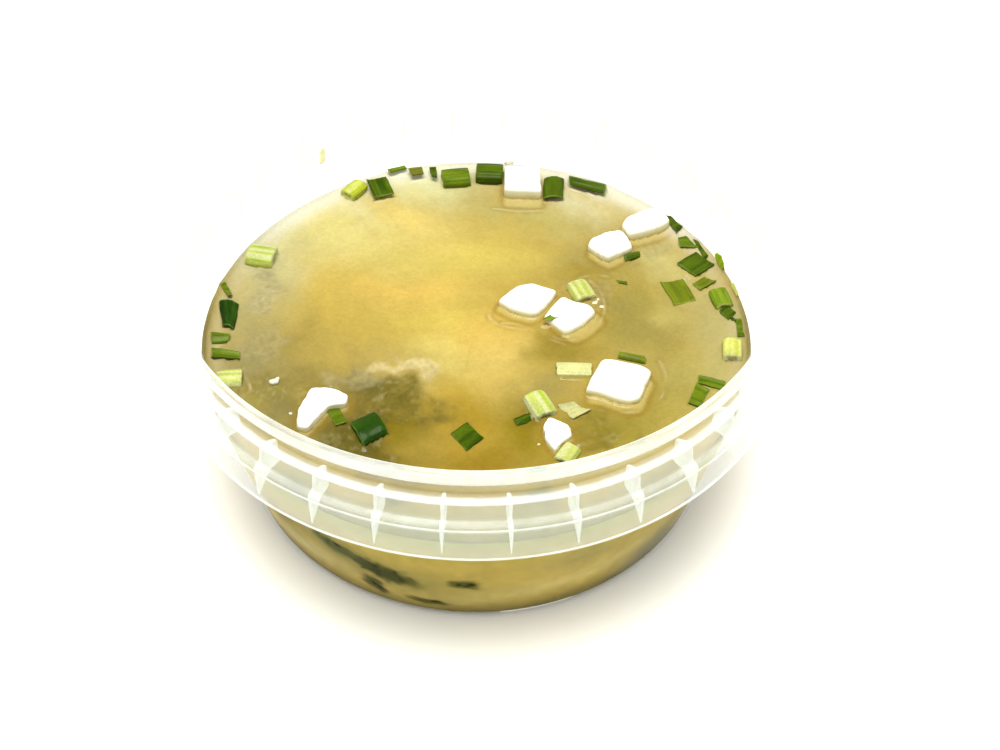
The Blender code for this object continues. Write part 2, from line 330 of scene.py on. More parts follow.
def line_distance(points: Array, line: Array) -> Array:
    """How far points lie from an open line, by dropping a perpendicular on each of its parts.

    Args:
        points: places in plan, two to a row.
        line: the line's points in order.

    Returns:
        One distance to a point.
    """
    least = np.full(points.shape[:-1], np.inf)
    for start, end in zip(line[:-1], line[1:]):
        side = end - start
        away = points - start
        share = np.clip(away @ side / max(side @ side, 1e-12), 0, 1)
        least = np.minimum(least, np.linalg.norm(away - share[..., None] * side, axis=-1))
    return least


# ---- finishes ---------------------------------------------------------------


class Nodes:
    """A material's node tree, with short ways to add and join nodes."""

    def __init__(self, name: str) -> None:
        """Make a material that holds one Principled shader."""
        self.material = bpy.data.materials.new(name)
        self.material.use_nodes = True
        self.tree = self.material.node_tree
        self.shader = self.tree.nodes["Principled BSDF"]

    def set(self, **values: float | Colour) -> None:
        """Set constants on the shader's own sockets; underscores stand for spaces."""
        for name, value in values.items():
            socket = self.shader.inputs[name.replace("_", " ")]
            socket.default_value = (*value, 1.0) if isinstance(value, tuple) else value

    def add(self, kind: str, **values: object) -> bpy.types.Node:
        """Add a node and set its properties and, by name, its unlinked inputs."""
        node = self.tree.nodes.new(kind)
        for name, value in values.items():
            if hasattr(node, name):
                setattr(node, name, value)
            else:
                node.inputs[name.replace("_", " ")].default_value = value
        return node

    def join(self, source: bpy.types.NodeSocket, target: bpy.types.NodeSocket) -> None:
        """Link two sockets."""
        self.tree.links.new(source, target)

    def attribute(self, name: str) -> bpy.types.Node:
        """Read a colour or number painted on the mesh."""
        return self.add("ShaderNodeAttribute", attribute_name=name)

    def place(self) -> bpy.types.NodeSocket:
        """The point in the object's own coordinates."""
        return self.add("ShaderNodeTexCoord").outputs["Object"]

    def noise(self, scale: float, detail: float, rough: float = 0.5) -> bpy.types.NodeSocket:
        """A cloudy pattern of the given scale, in waves to a metre."""
        node = self.add("ShaderNodeTexNoise", Scale=scale, Detail=detail, Roughness=rough)
        self.join(self.place(), node.inputs["Vector"])
        return node.outputs["Fac"]

    def ranged(
        self, source: bpy.types.NodeSocket, low: float, high: float, to_low: float, to_high: float
    ) -> bpy.types.NodeSocket:
        """Carry a number from one range to another."""
        node = self.add("ShaderNodeMapRange")
        self.join(source, node.inputs["Value"])
        for name, value in zip(("From Min", "From Max", "To Min", "To Max"), (low, high, to_low, to_high)):
            node.inputs[name].default_value = value
        return node.outputs["Result"]

    def math(
        self, operation: str, first: bpy.types.NodeSocket, second: bpy.types.NodeSocket | float
    ) -> bpy.types.NodeSocket:
        """Combine two numbers."""
        node = self.add("ShaderNodeMath", operation=operation)
        self.join(first, node.inputs[0])
        if isinstance(second, (int, float)):
            node.inputs[1].default_value = second
        else:
            self.join(second, node.inputs[1])
        return node.outputs[0]

    def scaled(
        self, colour: bpy.types.NodeSocket, share: bpy.types.NodeSocket
    ) -> bpy.types.NodeSocket:
        """Multiply a colour by a number."""
        node = self.add("ShaderNodeVectorMath", operation="SCALE")
        self.join(colour, node.inputs[0])
        self.join(share, node.inputs["Scale"])
        return node.outputs["Vector"]

    def relief(self, height: bpy.types.NodeSocket, depth: float, strength: float) -> None:
        """Carve a fine relief of the given depth in metres into the shader's normal."""
        node = self.add("ShaderNodeBump", Strength=strength, Distance=depth)
        self.join(height, node.inputs["Height"])
        self.join(node.outputs["Normal"], self.shader.inputs["Normal"])


@dataclass(frozen=True)
class MilkyPlastic:
    """Thin natural polypropylene: see-through where thin, white where thick."""

    name: str = "milky_plastic"
    body: Colour = (0.93, 0.97, 0.92)
    gloss: float = 0.22
    edge_power: float = 0.7

    def material(self) -> bpy.types.Material:
        """Build the finish: the painted haze is the alpha, raised where the wall is seen edge on.

        Returns:
            The material.
        """
        nodes = Nodes(self.name)
        nodes.set(Base_Color=self.body, Roughness=self.gloss, IOR=1.49, Specular_IOR_Level=0.12)
        haze = nodes.attribute("haze").outputs["Fac"]
        mottle = nodes.ranged(nodes.noise(420.0, 3.0), 0.3, 0.7, 0.9, 1.1)
        haze = nodes.math("MULTIPLY", haze, mottle)
        edge = nodes.add("ShaderNodeLayerWeight", Blend=0.28).outputs["Facing"]
        edge = nodes.math("POWER", edge, 5.0)
        edge = nodes.math("MULTIPLY", edge, self.edge_power)
        clear = nodes.math("MULTIPLY", nodes.ranged(haze, 0, 1, 1, 0), nodes.ranged(edge, 0, 1, 1, 0))
        nodes.join(nodes.ranged(clear, 0, 1, 1, 0), nodes.shader.inputs["Alpha"])
        nodes.relief(nodes.noise(900.0, 2.0), 0.00004, 0.35)
        return nodes.material


@dataclass(frozen=True)
class BrothLiquid:
    """Cloudy liquid with a wet gloss; its clouds are painted on the mesh."""

    name: str = "miso_broth"
    gloss: float = 0.07
    mirror: float = 0.5
    grain_low: float = 0.93
    grain_high: float = 1.07

    def material(self) -> bpy.types.Material:
        """Build the finish: painted clouds with a fine floating grain over them."""
        nodes = Nodes(self.name)
        nodes.set(Roughness=self.gloss, IOR=1.33, Specular_IOR_Level=self.mirror)
        fine = nodes.ranged(nodes.noise(1500.0, 4.0, 0.62), 0.3, 0.7, self.grain_low, self.grain_high)
        colour = nodes.scaled(nodes.attribute("broth").outputs["Color"], fine)
        nodes.join(colour, nodes.shader.inputs["Base Color"])
        return nodes.material


@dataclass(frozen=True)
class BeanCurd:
    """Wet white bean curd, cream down its sides, partly painted shade, and amber where wet, with faint pores."""

    gloss: float = 0.32

    def material(self) -> bpy.types.Material:
        """Build the finish: painted cream with a fine grain and a shallow relief."""
        nodes = Nodes("tofu_curd")
        nodes.set(Roughness=self.gloss, IOR=1.38, Coat_Weight=0.35, Coat_Roughness=0.12)
        fine = nodes.ranged(nodes.noise(1300.0, 3.0), 0.3, 0.7, 0.965, 1.02)
        colour = nodes.scaled(nodes.attribute("curd").outputs["Color"], fine)
        nodes.join(colour, nodes.shader.inputs["Base Color"])
        nodes.relief(nodes.noise(1800.0, 3.0), 0.0001, 0.3)
        return nodes.material


@dataclass(frozen=True)
class WetLeaf:
    """Wet spring onion; its greens and fibres are painted, with a fine fleck over them."""

    name: str = "spring_onion"
    gloss: float = 0.3
    mirror: float = 0.08
    water: float = 0.12

    def material(self) -> bpy.types.Material:
        """Build the finish: painted green, a fine fleck and a water coat."""
        nodes = Nodes(self.name)
        nodes.set(Roughness=self.gloss, IOR=1.4, Specular_IOR_Level=self.mirror)
        nodes.set(Coat_Weight=self.water, Coat_Roughness=0.05)
        fine = nodes.ranged(nodes.noise(2200.0, 3.0), 0.3, 0.7, 0.86, 1.14)
        colour = nodes.scaled(nodes.attribute("green").outputs["Color"], fine)
        nodes.join(colour, nodes.shader.inputs["Base Color"])
        nodes.relief(nodes.noise(2600.0, 2.0), 0.00008, 0.3)
        return nodes.material


@dataclass(frozen=True)
class PaleTable:
    """A plain pale surface."""

    body: Colour = (0.945, 0.935, 0.87)

    def material(self) -> bpy.types.Material:
        """Build the finish: a matte white with the faintest grain."""
        nodes = Nodes("pale_table")
        nodes.set(Base_Color=self.body, Roughness=0.7)
        nodes.relief(nodes.noise(700.0, 2.0), 0.00003, 0.2)
        return nodes.material


# ---- the tub ----------------------------------------------------------------


@dataclass
class Tub:
    """One moulding: a thin bowl, a beaded rim, a guard band and the ribs that hold it."""

    height: float = 58.2
    rim_radius: float = 63.8
    rim_width: float = 1.5
    bead_drop: float = 2.9
    wall: float = 0.8
    base_thickness: float = 0.9
    corner_height: float = 2.6
    corner_radius: float = 52.2
    flank_slope: float = 0.25
    brim_radius: float = 60.0
    brim_slope: float = 0.02
    bend_softness: float = 1.0
    soup_level: float = 32.9
    shoulder_height: float = 48.4
    ledge_height: float = 50.8
    neck_radius: float = 61.9
    ledge_width: float = 2.5
    step_height: float = 46.6
    step_radius: float = 64.8
    band_radius: float = 66.5
    band_foot: float = 36.7
    band_wall: float = 0.8
    rib_count: int = 32
    rib_spike: float = 1.0
    rib_neck: float = 0.44
    rib_thumb: float = 0.82
    rib_waist: float = 43.2
    turns: int = 384
    wall_haze: float = 0.0
    band_haze: float = 0.18
    thick_haze: float = 0.8
    rib_haze: float = 0.46

    def wall_radius(self, height: Array | float) -> Array | float:
        """Outer radius of the bowl: a cone that bends softly into a steeper brim.

        The lesser of the two straight lines, with the corner between them
        rounded as (a + b - sqrt((a - b)^2 + softness^2)) / 2.
        """
        flank = self.corner_radius + self.flank_slope * (height - self.corner_height)
        brim = self.brim_radius + self.brim_slope * (height - self.soup_level)
        return (flank + brim - np.hypot(flank - brim, self.bend_softness)) / 2

    def wall_corners(self, offset: float, low: float, high: float) -> list[tuple[float, float, float]]:
        """Corners up the wall at an offset inwards from its outer face."""
        heights = np.linspace(low, high, 24)
        return [(float(self.wall_radius(z)) - offset, float(z), 0.0) for z in heights]

    def profile(self) -> Array:
        """The whole moulding in section, from the middle underneath out, up, over and in.

        Returns:
            Radius and height of each point.
        """
        ledge_edge = self.neck_radius + self.ledge_width
        inner = self.band_radius - self.band_wall
        top = self.height
        low_wall = self.corner_height
        corners = [(0.0, 0.5, 0.0), (3.0, 0.5, 0.3), (3.4, 0.35, 0.3), (45.0, 0.35, 0.6), (46.2, 0.0, 0.5)]
        corners += [(self.corner_radius, 0.0, 2.5)]
        corners += self.wall_corners(0, low_wall + 0.4, self.shoulder_height)
        corners += [
            (float(self.wall_radius(self.shoulder_height)) + 0.6, self.shoulder_height + 0.8, 0.5),
            (ledge_edge - 0.8, self.ledge_height - 0.8, 0.5),
            (self.step_radius - 0.8, self.step_height - 0.5, 0.4),
            (inner, self.step_height - 0.8, 0.5),
            (inner - 0.3, self.band_foot, 0.1),
            (self.band_radius - 0.35, self.band_foot, 0.3),
            (self.band_radius, self.step_height - 0.4, 0.55),
            (self.step_radius + 0.1, self.step_height + 0.2, 0.3),
            (ledge_edge, self.ledge_height, 0.45),
            (self.neck_radius, self.ledge_height - 0.05, 0.35),
            (self.neck_radius + 0.55, top - self.bead_drop - 0.9, 0.5),
            (self.rim_radius, top - self.bead_drop, 0.45),
            (self.rim_radius, top, 0.75),
            (self.rim_radius - self.rim_width, top, 0.7),
            (self.neck_radius - self.wall + 0.2, self.ledge_height + 1.2, 1.0),
            (self.neck_radius - self.wall - 0.8, self.ledge_height - 0.9, 0.8),
        ]
        corners += list(reversed(self.wall_corners(self.wall, low_wall + 0.6, self.shoulder_height)))
        corners += [(self.corner_radius - 0.9, self.base_thickness, 1.7), (0.0, self.base_thickness, 0.0)]
        return rounded_path(corners, 0.9)

    def haze(self, radius: Array, height: Array, angle: Array) -> Array:
        """How milky the wall is: whitest in the bead, the ledge, the ridge and the foot.

        Bells in height pick out each thick place on the outer face, and a slow
        wave round the tub lets each fade and return.

        Args:
            radius: distance of each point from the axis.
            height: height of each point.
            angle: turn of each point about the axis.

        Returns:
            The share of light that the wall stops.
        """
        places = np.stack([40 * np.cos(angle), 40 * np.sin(angle), height], axis=-1)
        drift = Noise(11).layered(places, 7.0)
        streaks = Noise(12).layered(places * np.array([0.35, 0.35, 4.0]), 3.0)
        outer = radius > self.neck_radius - 0.2
        band = outer & (height < self.ledge_height + 0.3)
        haze = self.wall_haze + (self.band_haze - self.wall_haze) * band + 0.035 * streaks * band
        neck = (height > self.ledge_height - 1.0) & (radius > self.neck_radius - 1.6)
        haze = np.maximum(haze, (0.1 + 0.05 * streaks) * neck)
        rings = np.stack([14 * np.cos(angle), 14 * np.sin(angle), 3.2 * radius + 2.2 * height], axis=-1)
        brushed = Noise(13).layered(rings, 1.6, 3)
        bead = ease(height, self.height - self.bead_drop - 0.3, self.height - self.bead_drop + 0.5) * neck
        haze = np.maximum(haze, (0.3 + 0.3 * brushed) * bead)
        inner_lip = bump(radius, self.rim_radius - self.rim_width + 0.1, 0.2)
        outer_lip = np.maximum(bump(radius, self.rim_radius, 0.16), bump(height, self.height - self.bead_drop, 0.2))
        haze = np.maximum(haze, self.thick_haze * bead * np.maximum(inner_lip, (0.85 + 0.2 * drift) * outer_lip))
        ledge = bump(height, self.ledge_height, 0.35) * ease(radius, self.neck_radius + 0.3, self.neck_radius + 0.7)
        haze = np.maximum(haze, (0.58 + 0.16 * drift + 0.26 * brushed) * ledge)
        ridge = bump(height, self.step_height - 0.75, 0.18) * (radius > self.band_radius - 0.6)
        haze = np.maximum(haze, (0.78 + 0.14 * drift) * ridge)
        step = bump(height, self.step_height + 0.1, 0.6) * (radius > self.step_radius - 0.6)
        haze = np.maximum(haze, (0.3 + 0.14 * drift + 0.1 * streaks) * step)
        foot = bump(height, self.band_foot - 0.05, 0.14) * (radius > self.band_radius - 1.0)
        return np.clip(np.maximum(haze, (0.7 + 0.2 * drift) * foot), 0.003, 0.97)

    def shell(self, finish: bpy.types.Material) -> bpy.types.Object:
        """Turn the profile about the axis, with the small unevenness of a trimmed moulding.

        Args:
            finish: the plastic.

        Returns:
            The bowl, rim and band as one closed mesh.
        """
        line = self.profile()
        angle = np.linspace(0, 2 * math.pi, self.turns, endpoint=False)
        radius = np.repeat(line[:, :1], self.turns, axis=1)
        height = np.repeat(line[:, 1:], self.turns, axis=1)
        turn = np.repeat(angle[None], len(line), axis=0)
        places = np.stack([60 * np.cos(turn), 60 * np.sin(turn), height], axis=-1)
        ragged = Noise(5).layered(places, 2.2)
        lip = bump(height, self.height - self.bead_drop - 0.3, 0.6) * (radius > self.neck_radius + 0.4)
        flash = bump(height, self.ledge_height, 0.35) * (radius > self.neck_radius + 1.6)
        height = height + 0.14 * ragged * lip + 0.1 * ragged * flash
        haze = self.haze(radius, height, turn)
        points = np.stack([radius * np.cos(turn), radius * np.sin(turn), height], axis=-1)
        shape = Shape()
        shape.grid(points, wrap=True, haze=haze)
        return shape.made("tub_shell", finish)

    def rib_outline(self) -> list[Point2]:
        """One rib in section: a thumb under the ledge, a waist, and a spike on the band."""
        inner = self.band_radius - self.band_wall / 2
        return [
            (float(self.wall_radius(self.shoulder_height)) - 0.4, self.shoulder_height + 0.6),
            (self.neck_radius + self.ledge_width - 0.9, self.ledge_height - 0.3),
            (self.neck_radius + self.ledge_width - 0.35, self.ledge_height - 1.0),
            (self.step_radius - 0.3, self.step_height + 0.4),
            (inner, self.step_height - 0.5),
            (inner, self.band_foot + 1.4),
            (inner - 0.7, self.band_foot + 2.2),
            (self.neck_radius + 0.6, self.rib_waist - 0.3),
            (float(self.wall_radius(self.rib_waist)) - 0.4, self.rib_waist - 0.2),
        ]

    def ribs(self, finish: bpy.types.Material) -> bpy.types.Object:
        """Cut every rib as a plate with rounded edges, half a pitch off the front.

        A rib's outline is carried across its thickness and drawn in at both
        faces; each face is closed by rows drawn towards the outline's spine.
        It is thick at the thumb, thin at the ridge, and thick again below it,
        from where it tapers to the spike's tip.

        Args:
            finish: the plastic.

        Returns:
            All the ribs as one mesh.
        """
        outline = smooth_loop(self.rib_outline(), 0.35, 56)
        spine = np.stack([np.interp(outline[:, 1], [38.0, 43.0, 46.5, 50.0], [65.9, 64.4, 63.2, 62.2]), outline[:, 1]], -1)
        shape = Shape()
        across = np.array([-1, -0.96, -0.6, 0.6, 0.96, 1]) / 2
        drawn = np.array([1.0, 0.14, 0.0, 0.0, 0.14, 1.0])
        section = outline[None] * (1 - drawn[:, None, None]) + spine[None] * drawn[:, None, None]
        marks = [self.band_foot + 1.2, self.step_height - 1.4, self.step_height + 0.2, self.ledge_height - 1.6]
        thick = np.interp(section[..., 1], marks, [0.12, self.rib_spike, self.rib_neck, self.rib_thumb])
        offset = across[:, None] * thick
        for rib in range(self.rib_count):
            angle = -math.pi / 2 + 2 * math.pi * (rib + 0.5) / self.rib_count
            out, side = np.array([math.cos(angle), math.sin(angle)]), np.array([-math.sin(angle), math.cos(angle)])
            plan = section[..., :1] * out + offset[..., None] * side
            points = np.concatenate([plan, section[..., 1:]], axis=-1)
            shape.grid(points, wrap=True, haze=np.full(points.shape[:2], self.rib_haze))
        return shape.made("tub_ribs", finish)

    def build(self) -> list[bpy.types.Object]:
        """Make the shell and the ribs and hand them the tub's place in the model."""
        finish = MilkyPlastic().material()
        shell, ribs = self.shell(finish), self.ribs(finish)
        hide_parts("tub")
        return [shell, ribs]


# ---- spring onion -----------------------------------------------------------


class Green(Enum):
    """The greens of a spring onion, from leaf tip to root: face, fibre and cut edge."""

    DARK = ((96, 120, 8), (60, 88, 2), (136, 162, 46))
    MID = ((126, 148, 24), (94, 120, 12), (168, 184, 70))
    OLIVE = ((138, 150, 26), (116, 132, 20), (172, 184, 66))
    LIGHT = ((160, 184, 40), (124, 152, 30), (216, 224, 116))
    PALE = ((232, 238, 130), (196, 208, 84), (250, 251, 180))
    STRIPED = ((230, 240, 126), (188, 212, 50), (250, 252, 188))
    DEEP = ((56, 94, 14), (32, 66, 8), (104, 146, 48))
    LEMON = ((252, 252, 144), (226, 232, 92), (254, 254, 190))
    YELLOW = ((220, 228, 70), (190, 200, 44), (246, 248, 140))
    BROWN = ((140, 142, 40), (112, 110, 28), (168, 166, 70))
    CREAM = ((253, 252, 172), (244, 244, 146), (255, 255, 214))
    FILM = ((244, 240, 170), (222, 218, 130), (254, 252, 218))
    SKIN = ((250, 250, 205), (242, 242, 180), (254, 254, 226))
    SEAWEED = ((78, 80, 24), (58, 60, 14), (98, 100, 40))

    def colours(self) -> Array:
        """The three colours as linear light."""
        return np.stack([seen(colour) for colour in self.value])


def fibre_colours(green: Green, across: Array, along: Array, edge: Array, seed: int) -> Array:
    """Paint fibres along a piece and a paler cut edge.

    Args:
        green: which colours.
        across: position across the fibres in millimetres.
        along: position along them in millimetres.
        edge: 0 on the face to 1 at a cut edge.
        seed: which random field.

    Returns:
        A colour for each point.
    """
    face, fibre, cut = green.colours()
    place = np.stack([across, along * 0.08, np.full_like(across, seed * 3.1)], axis=-1)
    strands = ease(Noise(seed).layered(place, 0.55, 2), -0.35, 0.55)
    patch = Noise(seed + 1).plain(np.stack([across, along, across * 0], axis=-1), 2.6)
    colour = mixed(face[None, None], fibre[None, None], strands)
    colour = colour * (1 + 0.16 * patch)[..., None]
    return mixed(colour, np.broadcast_to(cut, colour.shape), edge)


@dataclass
class LeafCut:
    """A flat piece of leaf with four corners, slightly cupped, its fibres along the first side."""

    name: str
    corners: tuple[Point2, Point2, Point2, Point2]
    green: Green
    lift: float = 0.3
    thickness: float = 0.55
    cup: float = 0.3
    tilt: Point2 = (0.0, 0.0)
    seed: int = 1
    steps: int = 22

    def outline(self) -> Array:
        """The four corners in plan."""
        return np.array(self.corners)

    def rise(self) -> float:
        """How far the soup climbs it: to the middle of its edge."""
        return min(self.lift, 0.7)

    def add_to(self, shape: Shape, level: float) -> None:
        """Add the piece to a mesh.

        The plan is a blend of the four corners with bowed, slightly ragged
        sides.  The face is level + lift + tilt + cup, cup being a parabola
        across the fibres, and the underside is a thickness below it that
        closes to nothing at the edge as (1 - |s|^6)^(1/3).

        Args:
            shape: the mesh being gathered.
            level: height of the soup in millimetres.
        """
        first, second, third, fourth = self.outline()
        spread = np.sin(np.linspace(-1, 1, self.steps) * math.pi / 2)
        v, u = np.meshgrid(spread, spread, indexing="ij")
        a, b = (u[..., None] + 1) / 2, (v[..., None] + 1) / 2
        plan = (first * (1 - a) + second * a) * (1 - b) + (fourth * (1 - a) + third * a) * b
        middle = plan.mean(axis=(0, 1))
        rough = Noise(self.seed + 40)
        wobble = np.stack([rough.plain(np.stack([plan[..., 0], plan[..., 1], u * 0 + k], -1), 1.7) for k in (0, 9)], -1)
        size = np.linalg.norm(second - first) / 2, np.linalg.norm(fourth - first) / 2
        plan = plan + 0.16 * wobble
        away = plan - middle
        height = level + self.lift + away @ np.array(self.tilt)
        height += self.cup * (v**2 - 0.5) + 0.06 * rough.plain(np.stack([away[..., 0], away[..., 1], u * 0], -1), 2.4)
        half = self.thickness / 2 * (1 - np.abs(u) ** 8) ** 0.34 * (1 - np.abs(v) ** 8) ** 0.34
        ridge = 0.045 * np.sin(v * size[1] * 5.2 + self.seed)
        edge = ease(np.abs(u), 0.9, 1.0) * 0.8
        green = fibre_colours(self.green, v * size[1], u * size[0], edge, self.seed)
        for side in (1, -1):
            points = np.concatenate([plan, (height + side * half + ridge * (side > 0) * (half > 0))[..., None]], axis=-1)
            points[..., 2] = np.where(half > 1e-6, points[..., 2], height)
            shape.grid(points, green=green)


@dataclass
class TubeCut:
    """A chopped length of hollow stalk, lying on its side, with fibres along it."""

    name: str
    centre: Point2
    length: float
    width: float
    turn: float
    green: Green
    tall: float = 0.62
    lift: float = 0.3
    pitch: float = 0.0
    hollow: float = 0.42
    bands: int = 0
    square: float = 0.72
    under: Green | None = None
    seed: int = 1
    around: int = 56

    def rise(self) -> float:
        """How far the soup climbs it."""
        return 0.5

    def outline(self) -> Array:
        """The piece's rectangle in plan, its corners rounded off by cutting them."""
        angle = math.radians(self.turn)
        out = np.array([math.cos(angle), math.sin(angle)])
        side = np.array([-out[1], out[0]])
        half, wide = self.length / 2, self.width / 2
        marks = [(1, 0.6), (0.7, 1), (-0.7, 1), (-1, 0.6), (-1, -0.6), (-0.7, -1), (0.7, -1), (1, -0.6)]
        return np.array([np.array(self.centre) + out * half * s + side * wide * t for s, t in marks])

    def add_to(self, shape: Shape, level: float) -> None:
        """Add the piece to a mesh.

        The section is a superellipse, |cos|^square across and |sin|^square up,
        with small ridges along the fibres.  It is carried along a line that
        runs from deep in one hollow end, out round the rim, along the outside
        and back into the other end.

        Args:
            shape: the mesh being gathered.
            level: height of the soup in millimetres.
        """
        half, deep = self.length / 2, min(0.5, self.length / 4)
        rim = 0.22
        inner = self.hollow
        outer = np.linspace(-half + rim, half - rim, 18)
        along = np.concatenate([
            [-half + deep, -half + deep, -half + deep / 2, -half + 0.05, -half, -half + 0.05], outer,
            [half - 0.05, half, half - 0.05, half - deep / 2, half - deep, half - deep],
        ])
        reach = np.concatenate([
            [0.0, inner * 0.8, inner, inner + 0.05, (inner + 1) / 2, 0.95], np.ones(18),
            [0.95, (inner + 1) / 2, inner + 0.05, inner, inner * 0.8, 0.0],
        ])
        angle = np.linspace(0, 2 * math.pi, self.around, endpoint=False)
        cosine, sine = np.cos(angle), np.sin(angle)
        across = np.sign(cosine) * np.abs(cosine) ** self.square * self.width / 2
        up = np.sign(sine) * np.abs(sine) ** self.square * self.width / 2 * self.tall
        wander = Noise(self.seed + 60)
        place = np.stack([across, up, across * 0], axis=-1)
        ridges = 1 + 0.035 * wander.plain(place * 1.0, 0.55) + 0.02 * np.sin(9 * angle + self.seed)
        belly = 1 + 0.04 * np.cos(along / half * 1.5) - 0.03
        grow = reach[:, None] * ridges[None] * belly[:, None]
        long = np.repeat(along[:, None], self.around, axis=1)
        skew = 0.12 * wander.plain(np.stack([across, up, across * 0 + 5], -1), 1.3)
        ends = ease(np.abs(along) / half, 0.6, 1.0)[:, None] * np.sign(along)[:, None]
        long = long + skew[None] * ends
        local = np.stack([long, across[None] * grow, up[None] * grow], axis=-1)
        lean = math.radians(self.pitch)
        tipped = local.copy()
        tipped[..., 0] = local[..., 0] * math.cos(lean) - local[..., 2] * math.sin(lean)
        tipped[..., 2] = local[..., 0] * math.sin(lean) + local[..., 2] * math.cos(lean)
        heading = math.radians(self.turn)
        points = np.empty_like(tipped)
        points[..., 0] = self.centre[0] + tipped[..., 0] * math.cos(heading) - tipped[..., 1] * math.sin(heading)
        points[..., 1] = self.centre[1] + tipped[..., 0] * math.sin(heading) + tipped[..., 1] * math.cos(heading)
        points[..., 2] = level + self.lift + tipped[..., 2]
        edge = (1 - ease(reach, 0.9, 1.0))[:, None] * np.ones_like(grow)
        round_way = np.repeat((angle * self.width / 2)[None], len(along), axis=0)
        green = fibre_colours(self.green, round_way, long, 0.85 * edge, self.seed)
        if self.bands:
            stripe = 0.5 + 0.5 * np.sin(local[..., 1] / self.width * 2 * math.pi * self.bands + self.seed)
            pale = np.broadcast_to(self.green.colours()[2], green.shape)
            green = mixed(green, pale, 0.75 * ease(stripe, 0.45, 0.9) * (1 - edge))
        if self.under is not None:
            low = 1 - ease(points[..., 2] - level, -0.3, 0.9)
            green = mixed(green, np.broadcast_to(self.under.colours()[0], green.shape), 0.85 * low)
        shape.grid(points, wrap=True, green=green)


Cut = LeafCut | TubeCut


